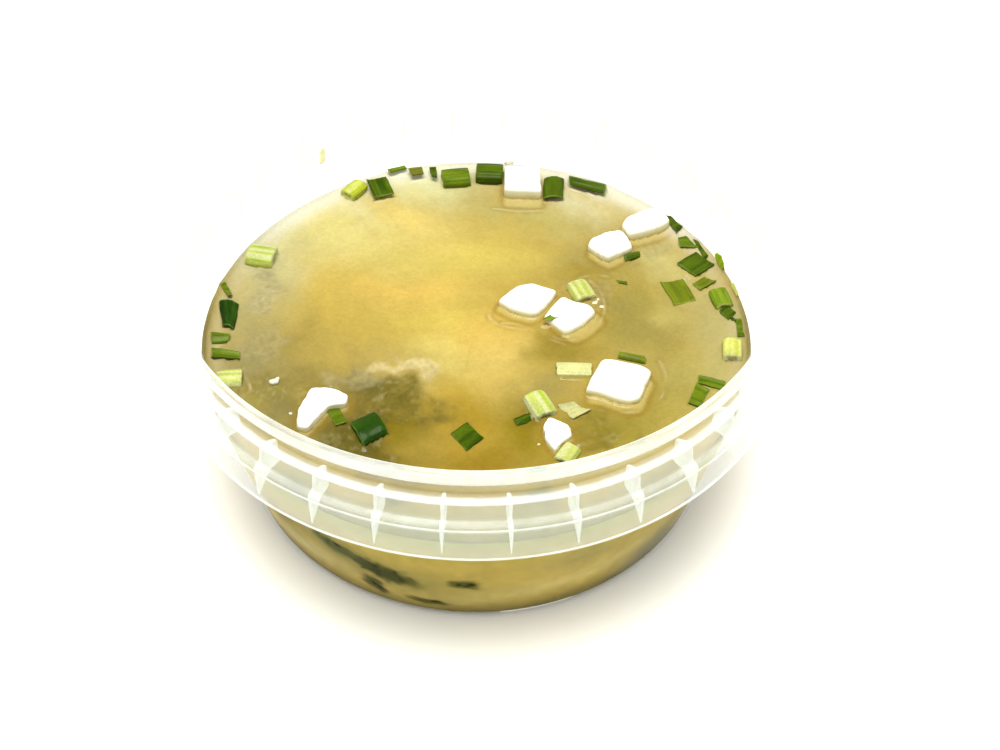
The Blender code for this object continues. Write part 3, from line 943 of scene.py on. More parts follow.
@dataclass
class SpringOnion:
    """Every chopped piece of spring onion that floats on the soup."""

    level: float
    large: list[Cut] = field(default_factory=lambda: [
        LeafCut("onion_01", ((-5.3, -30.3), (-1.9, -27.0), (1.4, -31.5), (-2.1, -35.1)), Green.DARK, 0.2, seed=1),
        TubeCut("onion_02", (13.1, -22.6), 6.6, 5.0, 114, Green.STRIPED, lift=0.2, bands=2, seed=2),
        TubeCut("onion_03", (20.6, -12.2), 7.4, 3.9, -2, Green.CREAM, lift=0.2, seed=3),
        TubeCut("onion_04", (54.8, -6.5), 5.6, 4.2, 84, Green.LEMON, lift=0.5, tall=0.8, seed=4),
        TubeCut("onion_05", (54.2, 10.0), 5.6, 4.2, 102, Green.LIGHT, lift=0.4, seed=5, under=Green.MID),
        LeafCut("onion_06", ((45.4, 22.0), (50.3, 26.0), (54.0, 21.6), (49.4, 17.6)), Green.DARK, 0.6, seed=6),
        LeafCut("onion_07", ((48.7, 10.1), (46.4, 17.2), (41.1, 16.2), (43.7, 8.4)), Green.OLIVE, 0.1, seed=7),
        TubeCut("onion_08", (23.2, 12.5), 5.8, 5.0, 112, Green.PALE, lift=0.3, bands=3, seed=8),
        LeafCut("onion_09", ((21.9, 53.2), (31.0, 49.6), (30.3, 46.4), (22.0, 49.9)), Green.DARK, 1.7, cup=-0.7, seed=9),
        LeafCut("onion_10", ((16.0, 52.4), (15.6, 44.8), (20.5, 44.8), (20.9, 52.6)), Green.DARK, 1.4, cup=-0.8, seed=10),
        TubeCut("onion_11", (3.0, 54.0), 6.4, 5.6, 176, Green.DARK, lift=1.3, seed=11),
        TubeCut("onion_12", (-5.1, 52.7), 6.6, 5.6, 8, Green.MID, lift=0.9, seed=12, under=Green.LIGHT),
        LeafCut("onion_13", ((-26.5, 51.4), (-24.4, 44.8), (-19.6, 46.2), (-21.9, 52.8)), Green.DARK, 1.4, seed=13),
        TubeCut("onion_14", (-29.2, 48.0), 5.4, 4.2, 55, Green.YELLOW, lift=1.1, bands=1, seed=14),
        TubeCut("onion_15", (-48.9, 24.2), 6.2, 6.0, 168, Green.STRIPED, lift=0.7, bands=3, seed=15),
        LeafCut("onion_16", ((-57.0, 9.6), (-55.4, 1.4), (-52.6, 0.4), (-52.4, 8.6)), Green.DEEP, 0.8, cup=-0.8, seed=16),
        TubeCut("onion_17", (-52.0, -14.8), 5.4, 4.6, 4, Green.PALE, lift=0.4, bands=3, seed=17),
        LeafCut("onion_18", ((-26.0, -27.8), (-21.0, -24.3), (-18.0, -30.4), (-22.9, -34.0)), Green.DEEP, 0.9,
                cup=-0.9, thickness=1.1, seed=18),
    ])
    small: list[Cut] = field(default_factory=lambda: [
        LeafCut("", ((-31.2, -23.3), (-28.8, -21.9), (-26.6, -27.3), (-28.8, -28.2)), Green.MID, 0.4, seed=21),
        LeafCut("", ((-21.6, 55.2), (-17.4, 56.8), (-16.8, 55.8), (-21.0, 53.9)), Green.LIGHT, 1.6, seed=22),
        LeafCut("", ((-16.6, 55.5), (-13.3, 56.0), (-12.8, 53.4), (-15.7, 52.8)), Green.BROWN, 1.6, seed=23),
        LeafCut("", ((-11.6, 56.0), (-10.0, 56.2), (-9.5, 52.0), (-10.9, 52.6)), Green.DARK, 1.6, seed=24),
        LeafCut("", ((43.8, 38.3), (45.4, 38.5), (47.8, 34.6), (46.3, 32.6)), Green.DARK, 0.9, seed=25),
        LeafCut("", ((46.5, 31.0), (48.5, 31.6), (51.2, 27.4), (46.6, 27.9)), Green.MID, 0.5, seed=26),
        LeafCut("", ((49.9, 30.2), (50.9, 29.4), (52.8, 24.4), (51.9, 23.6)), Green.DARK, 0.8, seed=27),
        LeafCut("", ((48.3, 15.2), (51.4, 17.6), (54.0, 16.2), (50.0, 13.2)), Green.OLIVE, 0.4, seed=28),
        LeafCut("", ((53.3, 6.0), (55.6, 8.1), (57.0, 5.6), (55.2, 3.2)), Green.DARK, 0.6, seed=29),
        LeafCut("", ((56.7, 3.6), (57.9, 3.6), (58.0, -2.2), (56.5, -2.0)), Green.MID, 0.5, seed=30),
        LeafCut("", ((55.2, 4.0), (55.8, 4.3), (57.6, 3.0), (57.2, 2.3)), Green.DARK, 0.5, seed=31),
        LeafCut("", ((31.2, 16.8), (33.7, 16.3), (33.8, 15.2), (31.8, 15.9)), Green.MID, 0.1, 0.4, seed=32),
        LeafCut("", ((14.3, 2.0), (16.2, 3.5), (17.8, 2.7), (16.4, 1.8)), Green.LIGHT, 1.8, 0.4, seed=33),
        LeafCut("", ((33.5, 25.1), (37.2, 26.4), (37.2, 24.4), (33.8, 22.8)), Green.DARK, 0.7, cup=-0.5, seed=34),
        LeafCut("", ((30.5, -6.7), (35.9, -8.2), (36.0, -10.4), (30.2, -8.8)), Green.OLIVE, 0.8, cup=-0.6, seed=35),
        LeafCut("", ((7.4, -26.1), (10.8, -24.4), (11.3, -26.6), (8.2, -28.3)), Green.DARK, 0.3, cup=-0.4, seed=36),
        LeafCut("", ((16.8, -22.5), (20.2, -21.6), (23.6, -23.7), (20.0, -26.3)), Green.FILM, 0.2, 0.5, cup=0.8, seed=37),
        TubeCut("", (18.3, -36.2), 4.8, 4.0, 58, Green.PALE, lift=0.1, bands=1, seed=38, under=Green.YELLOW),
        LeafCut("", ((8.6, -40.6), (11.4, -39.4), (14.0, -39.2), (13.6, -40.6)), Green.DARK, 0.0, seed=39),
        LeafCut("", ((46.9, -13.8), (52.5, -15.7), (51.9, -18.3), (46.4, -16.2)), Green.MID, 0.4, seed=40),
        LeafCut("", ((46.3, -16.0), (48.8, -18.0), (46.4, -23.0), (43.8, -21.7)), Green.MID, 0.3, seed=41),
        LeafCut("", ((-57.2, 14.6), (-56.0, 15.2), (-54.0, 10.8), (-55.0, 10.6)), Green.MID, 0.9, seed=42),
        LeafCut("", ((-57.6, -0.3), (-53.4, -1.0), (-53.3, -3.4), (-57.0, -4.2)), Green.MID, 0.6, cup=-0.6, seed=43),
        LeafCut("", ((-56.8, -5.3), (-50.5, -6.7), (-50.6, -8.7), (-56.6, -8.2)), Green.MID, 0.5, seed=44),
    ])

    def build(self) -> list[bpy.types.Object]:
        """Make one object to a large piece and one for all the small pieces.

        Returns:
            The objects.
        """
        finish = WetLeaf().material()
        made = []
        for cut in self.large:
            shape = Shape()
            cut.add_to(shape, self.level)
            piece = shape.made(f"{cut.name}_cut", finish)
            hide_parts(cut.name)
            made.append(piece)
        shape = Shape()
        for cut in self.small:
            cut.add_to(shape, self.level)
        scraps = shape.made("onion_small_cuts", finish)
        return made + [scraps]


# ---- tofu -------------------------------------------------------------------


@dataclass
class TofuPiece:
    """A soft block or torn bit of bean curd, told by the outline of its top."""

    name: str
    corners: tuple[Point2, ...]
    depth: float = 9.0
    edge: float = 1.2
    softness: float = 0.7
    crown: float = 0.15
    tilt: Point2 = (0.0, 0.0)
    unevenness: float = 0.16
    sunk: Point2 = (0.1, -1.8)
    seed: int = 1
    count: int = 120

    def outline(self) -> Array:
        """The rounded outline of the top."""
        return smooth_loop(list(self.corners), self.softness, self.count)

    def top(self) -> float:
        """Height of the top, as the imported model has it."""
        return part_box(self.name)[1][2] / MM

    def add_to(self, shape: Shape, level: float) -> None:
        """Add the piece to a mesh.

        Rows run from the middle of the top out to the edge, round it as a
        quarter circle, down the side with a slight belly, round the foot and
        in to the middle underneath.  A layered noise then moves every point,
        and pits it where the noise is deep.

        Args:
            shape: the mesh being gathered.
            level: height of the soup in millimetres.
        """
        ring = self.outline()
        middle = ring.mean(axis=0)
        reach = np.linalg.norm(ring - middle, axis=1)
        bend = np.linspace(0, math.pi / 2, 7)
        share = np.linspace(0, 1, 12)[:-1]
        drop = np.linspace(self.edge, self.depth - self.edge, 12)[1:-1]
        least = reach.min()
        flat = (1 - share) * (least - self.edge)
        inset = np.concatenate([
            flat + self.edge, self.edge * (1 - np.sin(bend)), -0.12 * np.sin(math.pi * drop / self.depth),
            self.edge * (1 - np.cos(bend)), self.edge + flat[::-1],
        ])
        low = np.concatenate([
            0 * share, self.edge * (1 - np.cos(bend)), drop,
            self.depth - self.edge * (1 - np.sin(bend)), 0 * share + self.depth,
        ])
        shrink = 1 - inset[:, None] / np.where(inset[:, None] > self.edge, least, reach[None])
        blend = ease(inset, self.edge, least)[:, None]
        shrink = np.where(inset[:, None] > self.edge, (1 - self.edge / reach[None]) * (1 - (inset[:, None] - self.edge) / (least - self.edge)), shrink)
        plan = middle + (ring - middle)[None] * shrink[..., None]
        away = plan - middle
        height = self.top() - low[:, None] + away @ np.array(self.tilt) * (1 - low[:, None] / self.depth)
        height = height + self.crown * (blend - 0.5) * (low[:, None] < self.depth / 2)
        points = np.concatenate([plan, height[..., None]], axis=-1)
        rough = Noise(self.seed + 80)
        shift = np.stack([rough.layered(points + 31 * axis, 3.4, 3) for axis in range(3)], axis=-1)
        pits = ease(Noise(self.seed + 90).layered(points, 1.1, 2), 0.25, 0.6)
        points = points + self.unevenness * shift
        points[..., :2] -= (0.1 * pits * (shrink > 0.7))[..., None] * away / np.maximum(np.linalg.norm(away, axis=-1, keepdims=True), 0.1)
        points[..., 2] -= 0.07 * pits
        shape.grid(points, wrap=True, curd=self.colours(points, level, pits))

    def colours(self, points: Array, level: float, pits: Array) -> Array:
        """White on top; cream down the side, partly the curd's own tone and partly painted shade; amber where the soup
        wets it; a little darker in the pits, painted shade.
        """
        white, cream, wet = linear((255, 254, 246)), 1.35 * seen((255, 248, 200)), 1.15 * seen((240, 214, 124))
        share = (points[..., 2] - level) / (self.top() - level)
        # Cream down the side: partly the curd's own tone, partly painted shade.
        colour = mixed(np.broadcast_to(cream, points.shape), np.broadcast_to(white, points.shape), ease(share, 0.55, 0.95))
        colour = mixed(np.broadcast_to(wet, points.shape), colour, ease(share, 0.05, 0.5))
        # The pits are darkened a little: painted shade.
        return colour * (1 - 0.05 * pits)[..., None]


@dataclass
class Tofu:
    """All the bean curd but the crumbs: six blocks and two torn bits."""

    level: float
    pieces: list[TofuPiece] = field(default_factory=lambda: [
        TofuPiece("tofu_01", ((6.4, 46.0), (6.6, 55.2), (15.0, 55.0), (15.4, 45.4)), sunk=(0.0, -2.6), seed=1),
        TofuPiece("tofu_02", ((25.2, 26.8), (26.0, 29.6), (29.6, 31.8), (33.3, 32.7), (34.6, 30.7), (35.9, 26.4),
                              (32.6, 24.3), (29.7, 22.6), (27.6, 24.3)), seed=2),
        TofuPiece("tofu_03", ((33.4, 33.9), (34.7, 36.5), (39.4, 39.4), (42.3, 40.2), (43.5, 38.7), (45.1, 35.4),
                              (42.4, 33.2), (38.3, 31.4), (35.2, 30.3)), seed=3),
        TofuPiece("tofu_04", ((4.4, 8.5), (7.4, 12.1), (9.2, 13.7), (12.3, 14.4), (15.2, 13.1), (18.0, 11.9),
                              (16.3, 8.5), (13.8, 4.9), (12.1, 4.2), (7.7, 5.9)), sunk=(-0.3, -1.5), seed=4),
        TofuPiece("tofu_05", ((18.8, 10.4), (21.0, 8.8), (25.1, 7.5), (26.3, 5.2), (23.3, 1.4), (20.1, -1.2),
                              (19.0, -1.5), (17.2, 0.4), (14.4, 3.6), (16.1, 6.5)), sunk=(1.7, -2.2), seed=5),
        TofuPiece("tofu_06", ((26.6, -9.8), (28.7, -9.7), (35.2, -11.8), (37.0, -13.5), (33.8, -21.7), (31.3, -22.3),
                              (28.1, -21.1), (25.6, -19.7), (22.5, -19.1), (23.7, -15.8)), sunk=(0.3, -2.4), seed=6),
        TofuPiece("tofu_07", ((-34.5, -18.4), (-30.5, -18.6), (-26.8, -20.4), (-26.9, -23.0), (-30.6, -23.8),
                              (-34.6, -30.2), (-36.6, -29.4), (-37.0, -24.6)), 5.0, 0.7, 0.55, unevenness=0.45, sunk=(0.2, -0.9),
                  seed=7),
        TofuPiece("tofu_08", ((14.7, -26.5), (19.0, -28.9), (19.2, -31.8), (17.2, -33.3), (15.6, -35.8),
                              (13.9, -32.5), (13.2, -29.6)), 4.0, 0.7, 0.5, unevenness=0.48, sunk=(0.3, -0.8), seed=8),
    ])

    def build(self) -> list[bpy.types.Object]:
        """Make one object to a piece.

        Returns:
            The objects.
        """
        finish = BeanCurd().material()
        made = []
        for piece in self.pieces:
            shape = Shape()
            piece.add_to(shape, self.level)
            block = shape.made(f"{piece.name}_curd", finish)
            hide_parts(piece.name)
            made.append(block)
        return made


@dataclass
class Crumb:
    """A lumpy crumb of bean curd."""

    centre: Point2
    size: tuple[float, float, float]
    lift: float = 0.2
    turn: float = 0.0
    seed: int = 1

    def add_to(self, shape: Shape, level: float) -> None:
        """Add the crumb to a mesh: a rounded lump, each point moved out or in by a layered noise."""
        down, around = np.meshgrid(np.linspace(0, math.pi, 15), np.linspace(0, 2 * math.pi, 22, endpoint=False), indexing="ij")
        ball = np.stack([np.sin(down) * np.cos(around), np.sin(down) * np.sin(around), np.cos(down)], axis=-1)
        lumps = 1 + 0.42 * Noise(self.seed + 300).layered(ball * 2.0, 1.3, 3)
        local = ball * lumps[..., None] * np.array(self.size) / 2
        turn = math.radians(self.turn)
        points = np.empty_like(local)
        points[..., 0] = self.centre[0] + local[..., 0] * math.cos(turn) - local[..., 1] * math.sin(turn)
        points[..., 1] = self.centre[1] + local[..., 0] * math.sin(turn) + local[..., 1] * math.cos(turn)
        points[..., 2] = level + self.lift + local[..., 2]
        shape.grid(points, wrap=True, curd=np.broadcast_to(seen((255, 250, 222)) * 1.3, points.shape))


@dataclass
class Flake:
    """A thin torn flake that lies against the wall: sunk seaweed, or a skin of onion."""

    angle: float
    height: float
    width: float
    tall: float
    turn: float
    inside: float
    green: Green
    seed: int = 1

    def add_to(self, shape: Shape, tub: "Tub") -> None:
        """Add the flake to a mesh.

        A square grid is squeezed into a disc with a ragged rim, laid on the
        wall's cone at a depth inside its outer face, and given a thickness
        that closes to nothing at the rim.

        Args:
            shape: the mesh being gathered.
            tub: gives the wall.
        """
        spread = np.linspace(-1, 1, 15)
        v, u = np.meshgrid(spread, spread, indexing="ij")
        x, y = u * np.sqrt(1 - v * v / 2), v * np.sqrt(1 - u * u / 2)
        place = np.stack([x, y, u * 0 + self.seed], axis=-1)
        ragged = 1 + 0.5 * Noise(self.seed + 200).layered(place, 0.5, 3)
        across, up = x * ragged * self.width / 2, y * ragged * self.tall / 2
        turn = math.radians(self.turn)
        level = self.height + across * math.sin(turn) + up * math.cos(turn)
        sideways = across * math.cos(turn) - up * math.sin(turn)
        rim = np.clip(1 - np.maximum(np.abs(u), np.abs(v)) ** 4, 0, 1)
        crumple = 0.02 * Noise(self.seed + 201).layered(place, 0.5, 2)
        green = fibre_colours(self.green, across, up, 0 * rim, self.seed)
        # Flakes above the liquid are painted 1.8 times brighter: painted light making up for the weak light on the
        # inner wall.
        if self.height > tub.soup_level:
            green = np.minimum(1.8 * green, 0.95)
        for side in (1, -1):
            radius = tub.wall_radius(level) - self.inside + (0.04 * side + crumple) * rim
            angle = math.radians(self.angle) + sideways / radius
            shape.grid(np.stack([radius * np.cos(angle), radius * np.sin(angle), level], axis=-1), green=green)


@dataclass
class WeedClump:
    """A clump of torn seaweed pressed against the wall: many small flakes round one place."""

    angle: float
    height: float
    length: float
    breadth: float
    turn: float
    count: int
    seed: int

    def flakes(self) -> list[Flake]:
        """Scatter the flakes over an ellipse, the largest near its middle.

        Returns:
            The flakes.
        """
        chance = np.random.default_rng(self.seed)
        turn = math.radians(self.turn)
        made = []
        for index, (way, far, size, twist) in enumerate(chance.uniform(0, 1, (self.count, 4))):
            reach = math.sqrt(far) * 0.5
            along = self.length * reach * math.cos(2 * math.pi * way)
            across = self.breadth * reach * math.sin(2 * math.pi * way)
            wide = (0.5 + 1.3 * size) * (1.3 - 1.2 * reach)
            made.append(Flake(
                self.angle + along * math.cos(turn) - across * math.sin(turn),
                self.height + along * math.sin(turn) + across * math.cos(turn),
                wide * 1.3, wide * 0.8, self.turn + 50 * (twist - 0.5), 0.21 + 0.004 * index, Green.SEAWEED, index,
            ))
        return made


@dataclass
class Bubble:
    """A low dome of liquid skin on the surface."""

    centre: Point2
    radius: float

    def add_to(self, shape: Shape, level: float) -> None:
        """Add the dome to a mesh: a cap a little under half a ball, closed by a flat foot."""
        tilt = np.linspace(0, 1.25, 9)
        reach = np.append(self.radius * np.sin(tilt), 0.0)
        rise = np.append(self.radius * (np.cos(tilt) - 0.2), self.radius * (math.cos(1.25) - 0.2))
        angle = np.linspace(0, 2 * math.pi, 20, endpoint=False)
        plan = [self.centre[0] + reach[:, None] * np.cos(angle), self.centre[1] + reach[:, None] * np.sin(angle)]
        points = np.stack([*plan, level + np.repeat(rise[:, None], 20, axis=1)], axis=-1)
        shape.grid(points, wrap=True, haze=np.full(points.shape[:2], 0.14))


@dataclass
class Scraps:
    """What is too small or too sunk for a node: crumbs, weed, onion skin and bubbles."""

    tub: Tub
    crumbs: list[Crumb] = field(default_factory=lambda: [
        Crumb((-42.6, -15.4), (2.1, 1.5, 1.2), 0.3, 10, seed=1),
        Crumb((-42.0, -14.6), (1.1, 0.8, 0.7), 0.3, 50, seed=2),
        Crumb((-38.4, -24.5), (0.8, 0.6, 0.5), 0.1, 0, seed=3),
        Crumb((7.7, 55.9), (2.4, 1.6, 1.4), 3.5, 20, seed=4),
        Crumb((26.2, 9.4), (1.5, 1.0, 0.5), 0.1, 30, seed=5),
        Crumb((27.6, 8.2), (1.1, 0.8, 0.4), 0.0, -20, seed=6),
        Crumb((26.9, 10.4), (0.9, 0.6, 0.4), 0.1, 70, seed=7),
        Crumb((16.6, -36.9), (0.8, 0.6, 0.4), 0.1, 0, seed=9),
        Crumb((12.6, -33.2), (0.6, 0.5, 0.4), 0.1, 0, seed=10),
    ])
    flakes: list[Flake] = field(default_factory=lambda: [
        Flake(127.4, 44.8, 1.9, 4.6, 4, 0.95, Green.SKIN, seed=8),
        Flake(21.0, 35.4, 5.0, 2.6, 12, 0.95, Green.LIGHT, seed=9),
        Flake(12.0, 34.6, 4.4, 1.6, -6, 0.95, Green.PALE, seed=10),
    ])
    clumps: list[WeedClump] = field(default_factory=lambda: [
        WeedClump(-111.0, 14.8, 12.0, 6.0, -14, 10, 1),
        WeedClump(-120.4, 19.2, 6.0, 3.0, -24, 4, 2),
        WeedClump(-92.2, 14.6, 4.0, 1.8, 4, 4, 3),
        WeedClump(-112.8, 7.6, 3.0, 1.8, -50, 2, 4),
        WeedClump(-100.6, 5.8, 4.0, 0.8, -4, 3, 5),
        WeedClump(38.0, 13.0, 8.0, 4.4, 20, 8, 6),
        WeedClump(148.0, 10.4, 6.0, 3.0, -18, 5, 7),
    ])
    bubbles: list[Bubble] = field(default_factory=lambda: [
        Bubble((11.2, -25.6), 0.7),
        Bubble((10.3, -24.9), 0.45),
        Bubble((12.4, -26.4), 0.5),
        Bubble((46.6, 16.9), 0.6),
        Bubble((47.4, 18.2), 0.5),
        Bubble((47.9, 17.2), 0.4),
        Bubble((-30.6, -16.6), 0.4),
        Bubble((20.6, -33.6), 0.5),
    ])

    def build(self) -> list[bpy.types.Object]:
        """Make one object to a kind.

        Returns:
            The objects.
        """
        crumbs, flakes, bubbles = Shape(), Shape(), Shape()
        for crumb in self.crumbs:
            crumb.add_to(crumbs, self.tub.soup_level)
        for flake in self.flakes + [flake for clump in self.clumps for flake in clump.flakes()]:
            flake.add_to(flakes, self.tub)
        for bubble in self.bubbles:
            bubble.add_to(bubbles, self.tub.soup_level)
        made = [
            crumbs.made("tofu_crumbs", BeanCurd().material(), 1e-5),
            flakes.made("sunk_flakes", WetLeaf("wet_weed", gloss=0.7, mirror=0.0, water=0.0).material(), 1e-5),
            bubbles.made("soup_bubbles", MilkyPlastic("bubble_skin", gloss=0.04).material(), 1e-5),
        ]
        return made


# ---- the soup ---------------------------------------------------------------


@dataclass(frozen=True)
class Cloud:
    """A soft patch of another colour in the soup."""

    colour: Colour
    centre: Point2
    reach: Point2
    turn: float = 0.0
    strength: float = 1.0

    def share(self, plan: Array) -> Array:
        """Its strength at each place: a bell over an ellipse turned in plan.

        Args:
            plan: places, two to a row.

        Returns:
            0 to the cloud's strength.
        """
        angle = math.radians(self.turn)
        away = plan - np.array(self.centre)
        along = away @ np.array([math.cos(angle), math.sin(angle)]) / self.reach[0]
        across = away @ np.array([-math.sin(angle), math.cos(angle)]) / self.reach[1]
        return self.strength * np.exp(-(along**2 + across**2))


@dataclass
class Soup:
    """The cloudy soup up to its level, with its edge creeping up all that it touches."""

    tub: Tub
    floating: list[tuple[Array, float]]
    bean_curd: list[tuple[Array, Point2]]
    reach_into_wall: float = 0.5
    turns: int = 480
    rings: int = 146
    side_rows: int = 50
    edge_rise: float = 0.75
    edge_reach: float = 1.0
    foot_rise: float = 0.45
    body_colour: Colour = (212, 184, 88)
    clouds: tuple[Cloud, ...] = (
        Cloud((255, 255, 192), (-12, 52), (14, 9), 0, 0.9),
        Cloud((255, 255, 212), (22, 44), (14, 6), -25, 0.6),
        Cloud((255, 240, 148), (-30, 36), (12, 18), 40, 0.8),
        Cloud((255, 246, 184), (-26, 42), (6, 3.5), -35, 0.7),
        Cloud((236, 232, 170), (-46, 24), (10, 14), -30, 0.8),
        Cloud((204, 190, 124), (-52, 6), (9, 16), 0, 0.9),
        Cloud((174, 162, 104), (-47, -10), (10, 10), 0, 0.9),
        Cloud((244, 210, 96), (-33, 12), (9, 14), 0, 0.5),
        Cloud((255, 232, 114), (-4, 24), (16, 10), 0, 0.6),
        Cloud((255, 228, 106), (-6, 2), (14, 7), 0, 0.6),
        Cloud((206, 194, 112), (12, 40), (16, 4), -20, 0.8),
        Cloud((150, 166, 122), (30, 26), (12, 8), 20, 0.6),
        Cloud((234, 222, 142), (43, 24), (5, 14), 25, 0.7),
        Cloud((172, 142, 12), (24, 20), (8, 5), 10, 0.6),
        Cloud((172, 158, 78), (36, 4), (10, 14), 0, 0.9),
        Cloud((202, 192, 126), (53, -2), (7, 22), 0, 0.8),
        Cloud((204, 190, 108), (40, -16), (12, 10), 30, 0.8),
        Cloud((156, 142, 46), (28, -28), (16, 9), 30, 0.8),
        Cloud((162, 128, 12), (0, -38), (12, 8), 0, 0.8),
        Cloud((204, 162, 12), (-3, -24), (6, 9), 0, 0.6),
        Cloud((110, 104, 52), (-25, -16), (12, 6), -8, 0.9),
        Cloud((88, 106, 82), (-34, -27), (12, 8), -35, 0.8),
        Cloud((86, 72, 12), (-16, -26), (8, 6), 10, 0.8),
        Cloud((212, 188, 116), (-18, -11), (9, 3.5), -5, 0.8),
        Cloud((255, 238, 138), (-4, -8), (8, 5), 0, 0.7),
        Cloud((146, 128, 34), (17, -3), (8, 4), -25, 0.8),
        Cloud((12, 12, 12), (12, -29), (5, 5), 0, 0.8),
        Cloud((166, 156, 94), (16, -18), (7, 5), 0, 0.5),
        Cloud((250, 218, 120), (6, -7), (5, 8), 0, 0.8),
        Cloud((254, 214, 106), (-14, 13), (12, 6), 0, 0.8),
        Cloud((80, 66, 12), (-20, -34), (12, 6), -45, 0.8),
        Cloud((254, 226, 126), (-14, 38), (12, 6), -45, 0.8),
        Cloud((180, 158, 78), (-40, -2), (8, 5), 60, 0.8),
        Cloud((162, 142, 54), (20, -7), (8, 5), 0, 0.8),
        Cloud((218, 200, 114), (43, 6), (4, 3), 0, 0.8),
        Cloud((160, 138, 12), (10, -32), (12, 6), -45, 0.8),
        Cloud((156, 134, 24), (-14, -27), (5, 8), 0, 0.8),
        Cloud((244, 208, 102), (3, 0), (12, 6), 45, 0.8),
        Cloud((140, 142, 66), (0, -60), (60, 12), 0, 0.9),
        Cloud((122, 128, 76), (-34, -48), (14, 5), -34, 0.8),
        Cloud((122, 126, 66), (36, -46), (14, 5), 36, 0.6),
        Cloud((84, 98, 70), (-15.4, -49.6), (3.4, 2.4), 0, 0.7),
        Cloud((84, 98, 60), (11, -50.2), (3, 2.4), 0, 0.7),
    )
    wisps: tuple[Cloud, ...] = (
        Cloud((126, 114, 44), (-20, -20), (13, 6.6), -8, 0.7),
        Cloud((110, 102, 30), (-26, -31), (14, 7), -40, 0.75),
        Cloud((150, 136, 60), (-40, -20), (7, 8), 20, 0.45),
        Cloud((136, 122, 40), (26, -30), (9, 6), 30, 0.45),
        Cloud((248, 230, 168), (-12, -11.4), (7, 1.6), -6, 0.5),
        Cloud((244, 222, 158), (-21, -9.8), (6, 1.4), 8, 0.5),
        Cloud((178, 168, 116), (-28, -13), (6, 3), -20, 0.6),
        Cloud((196, 184, 136), (-49, 14), (4, 9), 0, 0.5),
        Cloud((186, 174, 120), (-46, -4), (5, 8), 0, 0.45),
        Cloud((170, 160, 104), (24, 12), (9, 5), -20, 0.4),
        Cloud((188, 180, 122), (40, 30), (7, 5), -40, 0.45),
    )
    side_light: float = 0.74
    side_clouds: tuple[Cloud, ...] = (
        Cloud((166, 170, 76), (-90, 34), (400, 7), 0, 0.9),
        # painted shade: a darker band all round the foot of the side
        Cloud((132, 120, 66), (-90, 1), (400, 5), 0, 0.95),
        # painted shade at the front right of the side
        Cloud((118, 122, 104), (-45, 8), (11, 8), 0, 0.8),
        Cloud((214, 194, 116), (-72, 11), (32, 3.4), 8, 0.85),
        Cloud((166, 154, 92), (-66, 21), (12, 5), 0, 0.8),
        Cloud((196, 184, 124), (-130, 10), (12, 3.4), 0, 0.8),
        Cloud((132, 130, 70), (-104, 14), (20, 6), -8, 0.6),
        Cloud((118, 120, 72), (-120, 18), (12, 5), -16, 0.8),
        Cloud((116, 104, 40), (-137, 17), (6, 5), 0, 0.8),
        Cloud((140, 124, 42), (-30, 14), (16, 7), 0, 0.8),
        Cloud((206, 184, 92), (80, 18), (26, 6), 0, 0.8),
        Cloud((150, 132, 48), (112, 9), (12, 5), 0, 0.8),
    )
    weeds: tuple[Cloud, ...] = (
        Cloud((60, 64, 22), (-110.6, 14.8), (9, 4.6), -18),
        Cloud((88, 92, 42), (-121, 19.2), (6.5, 2.8), -22),
        Cloud((82, 82, 26), (-92.4, 14.6), (4.6, 2.4), 4),
        Cloud((74, 74, 28), (-113, 7.4), (4.6, 2.8), -46),
        Cloud((80, 78, 28), (-100.4, 5.6), (5.2, 1.5), -4),
        Cloud((64, 68, 20), (38, 13), (8.6, 5.0), 20),
        Cloud((72, 74, 22), (148, 10.4), (6.6, 3.8), -18),
    )
    ripple_lines: tuple[tuple[Point2, ...], ...] = (
        ((4.0, 9.0), (2.2, 5.5), (4.0, 2.6), (8.0, 1.2), (12.0, 0.8), (15.5, -0.8), (18.5, -2.8), (21.0, -2.6)),
        ((5.5, 2.9), (9.5, 2.6), (13.0, 0.0), (16.4, -2.6), (19.0, -3.9)),
        ((25.4, 16.8), (27.6, 13.6), (28.4, 9.0), (27.8, 4.6), (25.6, 0.6)),
        ((22.4, 17.4), (26.4, 19.0), (29.6, 18.2)),
        ((39.0, -9.0), (40.2, -13.0), (39.6, -18.0), (36.8, -22.6)),
        ((24.0, -23.0), (28.6, -24.4), (33.4, -24.2)),
        ((-47.6, -16.2), (-47.4, -19.4), (-46.2, -22.5)),
        ((-49.4, -11.0), (-48.0, -16.0), (-45.4, -20.4)),
        ((41.4, -26.4), (42.0, -25.4), (42.3, -24.1)),
        ((4.0, 42.4), (10.0, 41.2), (16.0, 41.8)),
        ((23.6, 22.6), (28.0, 20.6), (33.0, 21.4), (37.0, 23.6)),
    )

    def level(self) -> float:
        """Height of the still surface."""
        return self.tub.soup_level

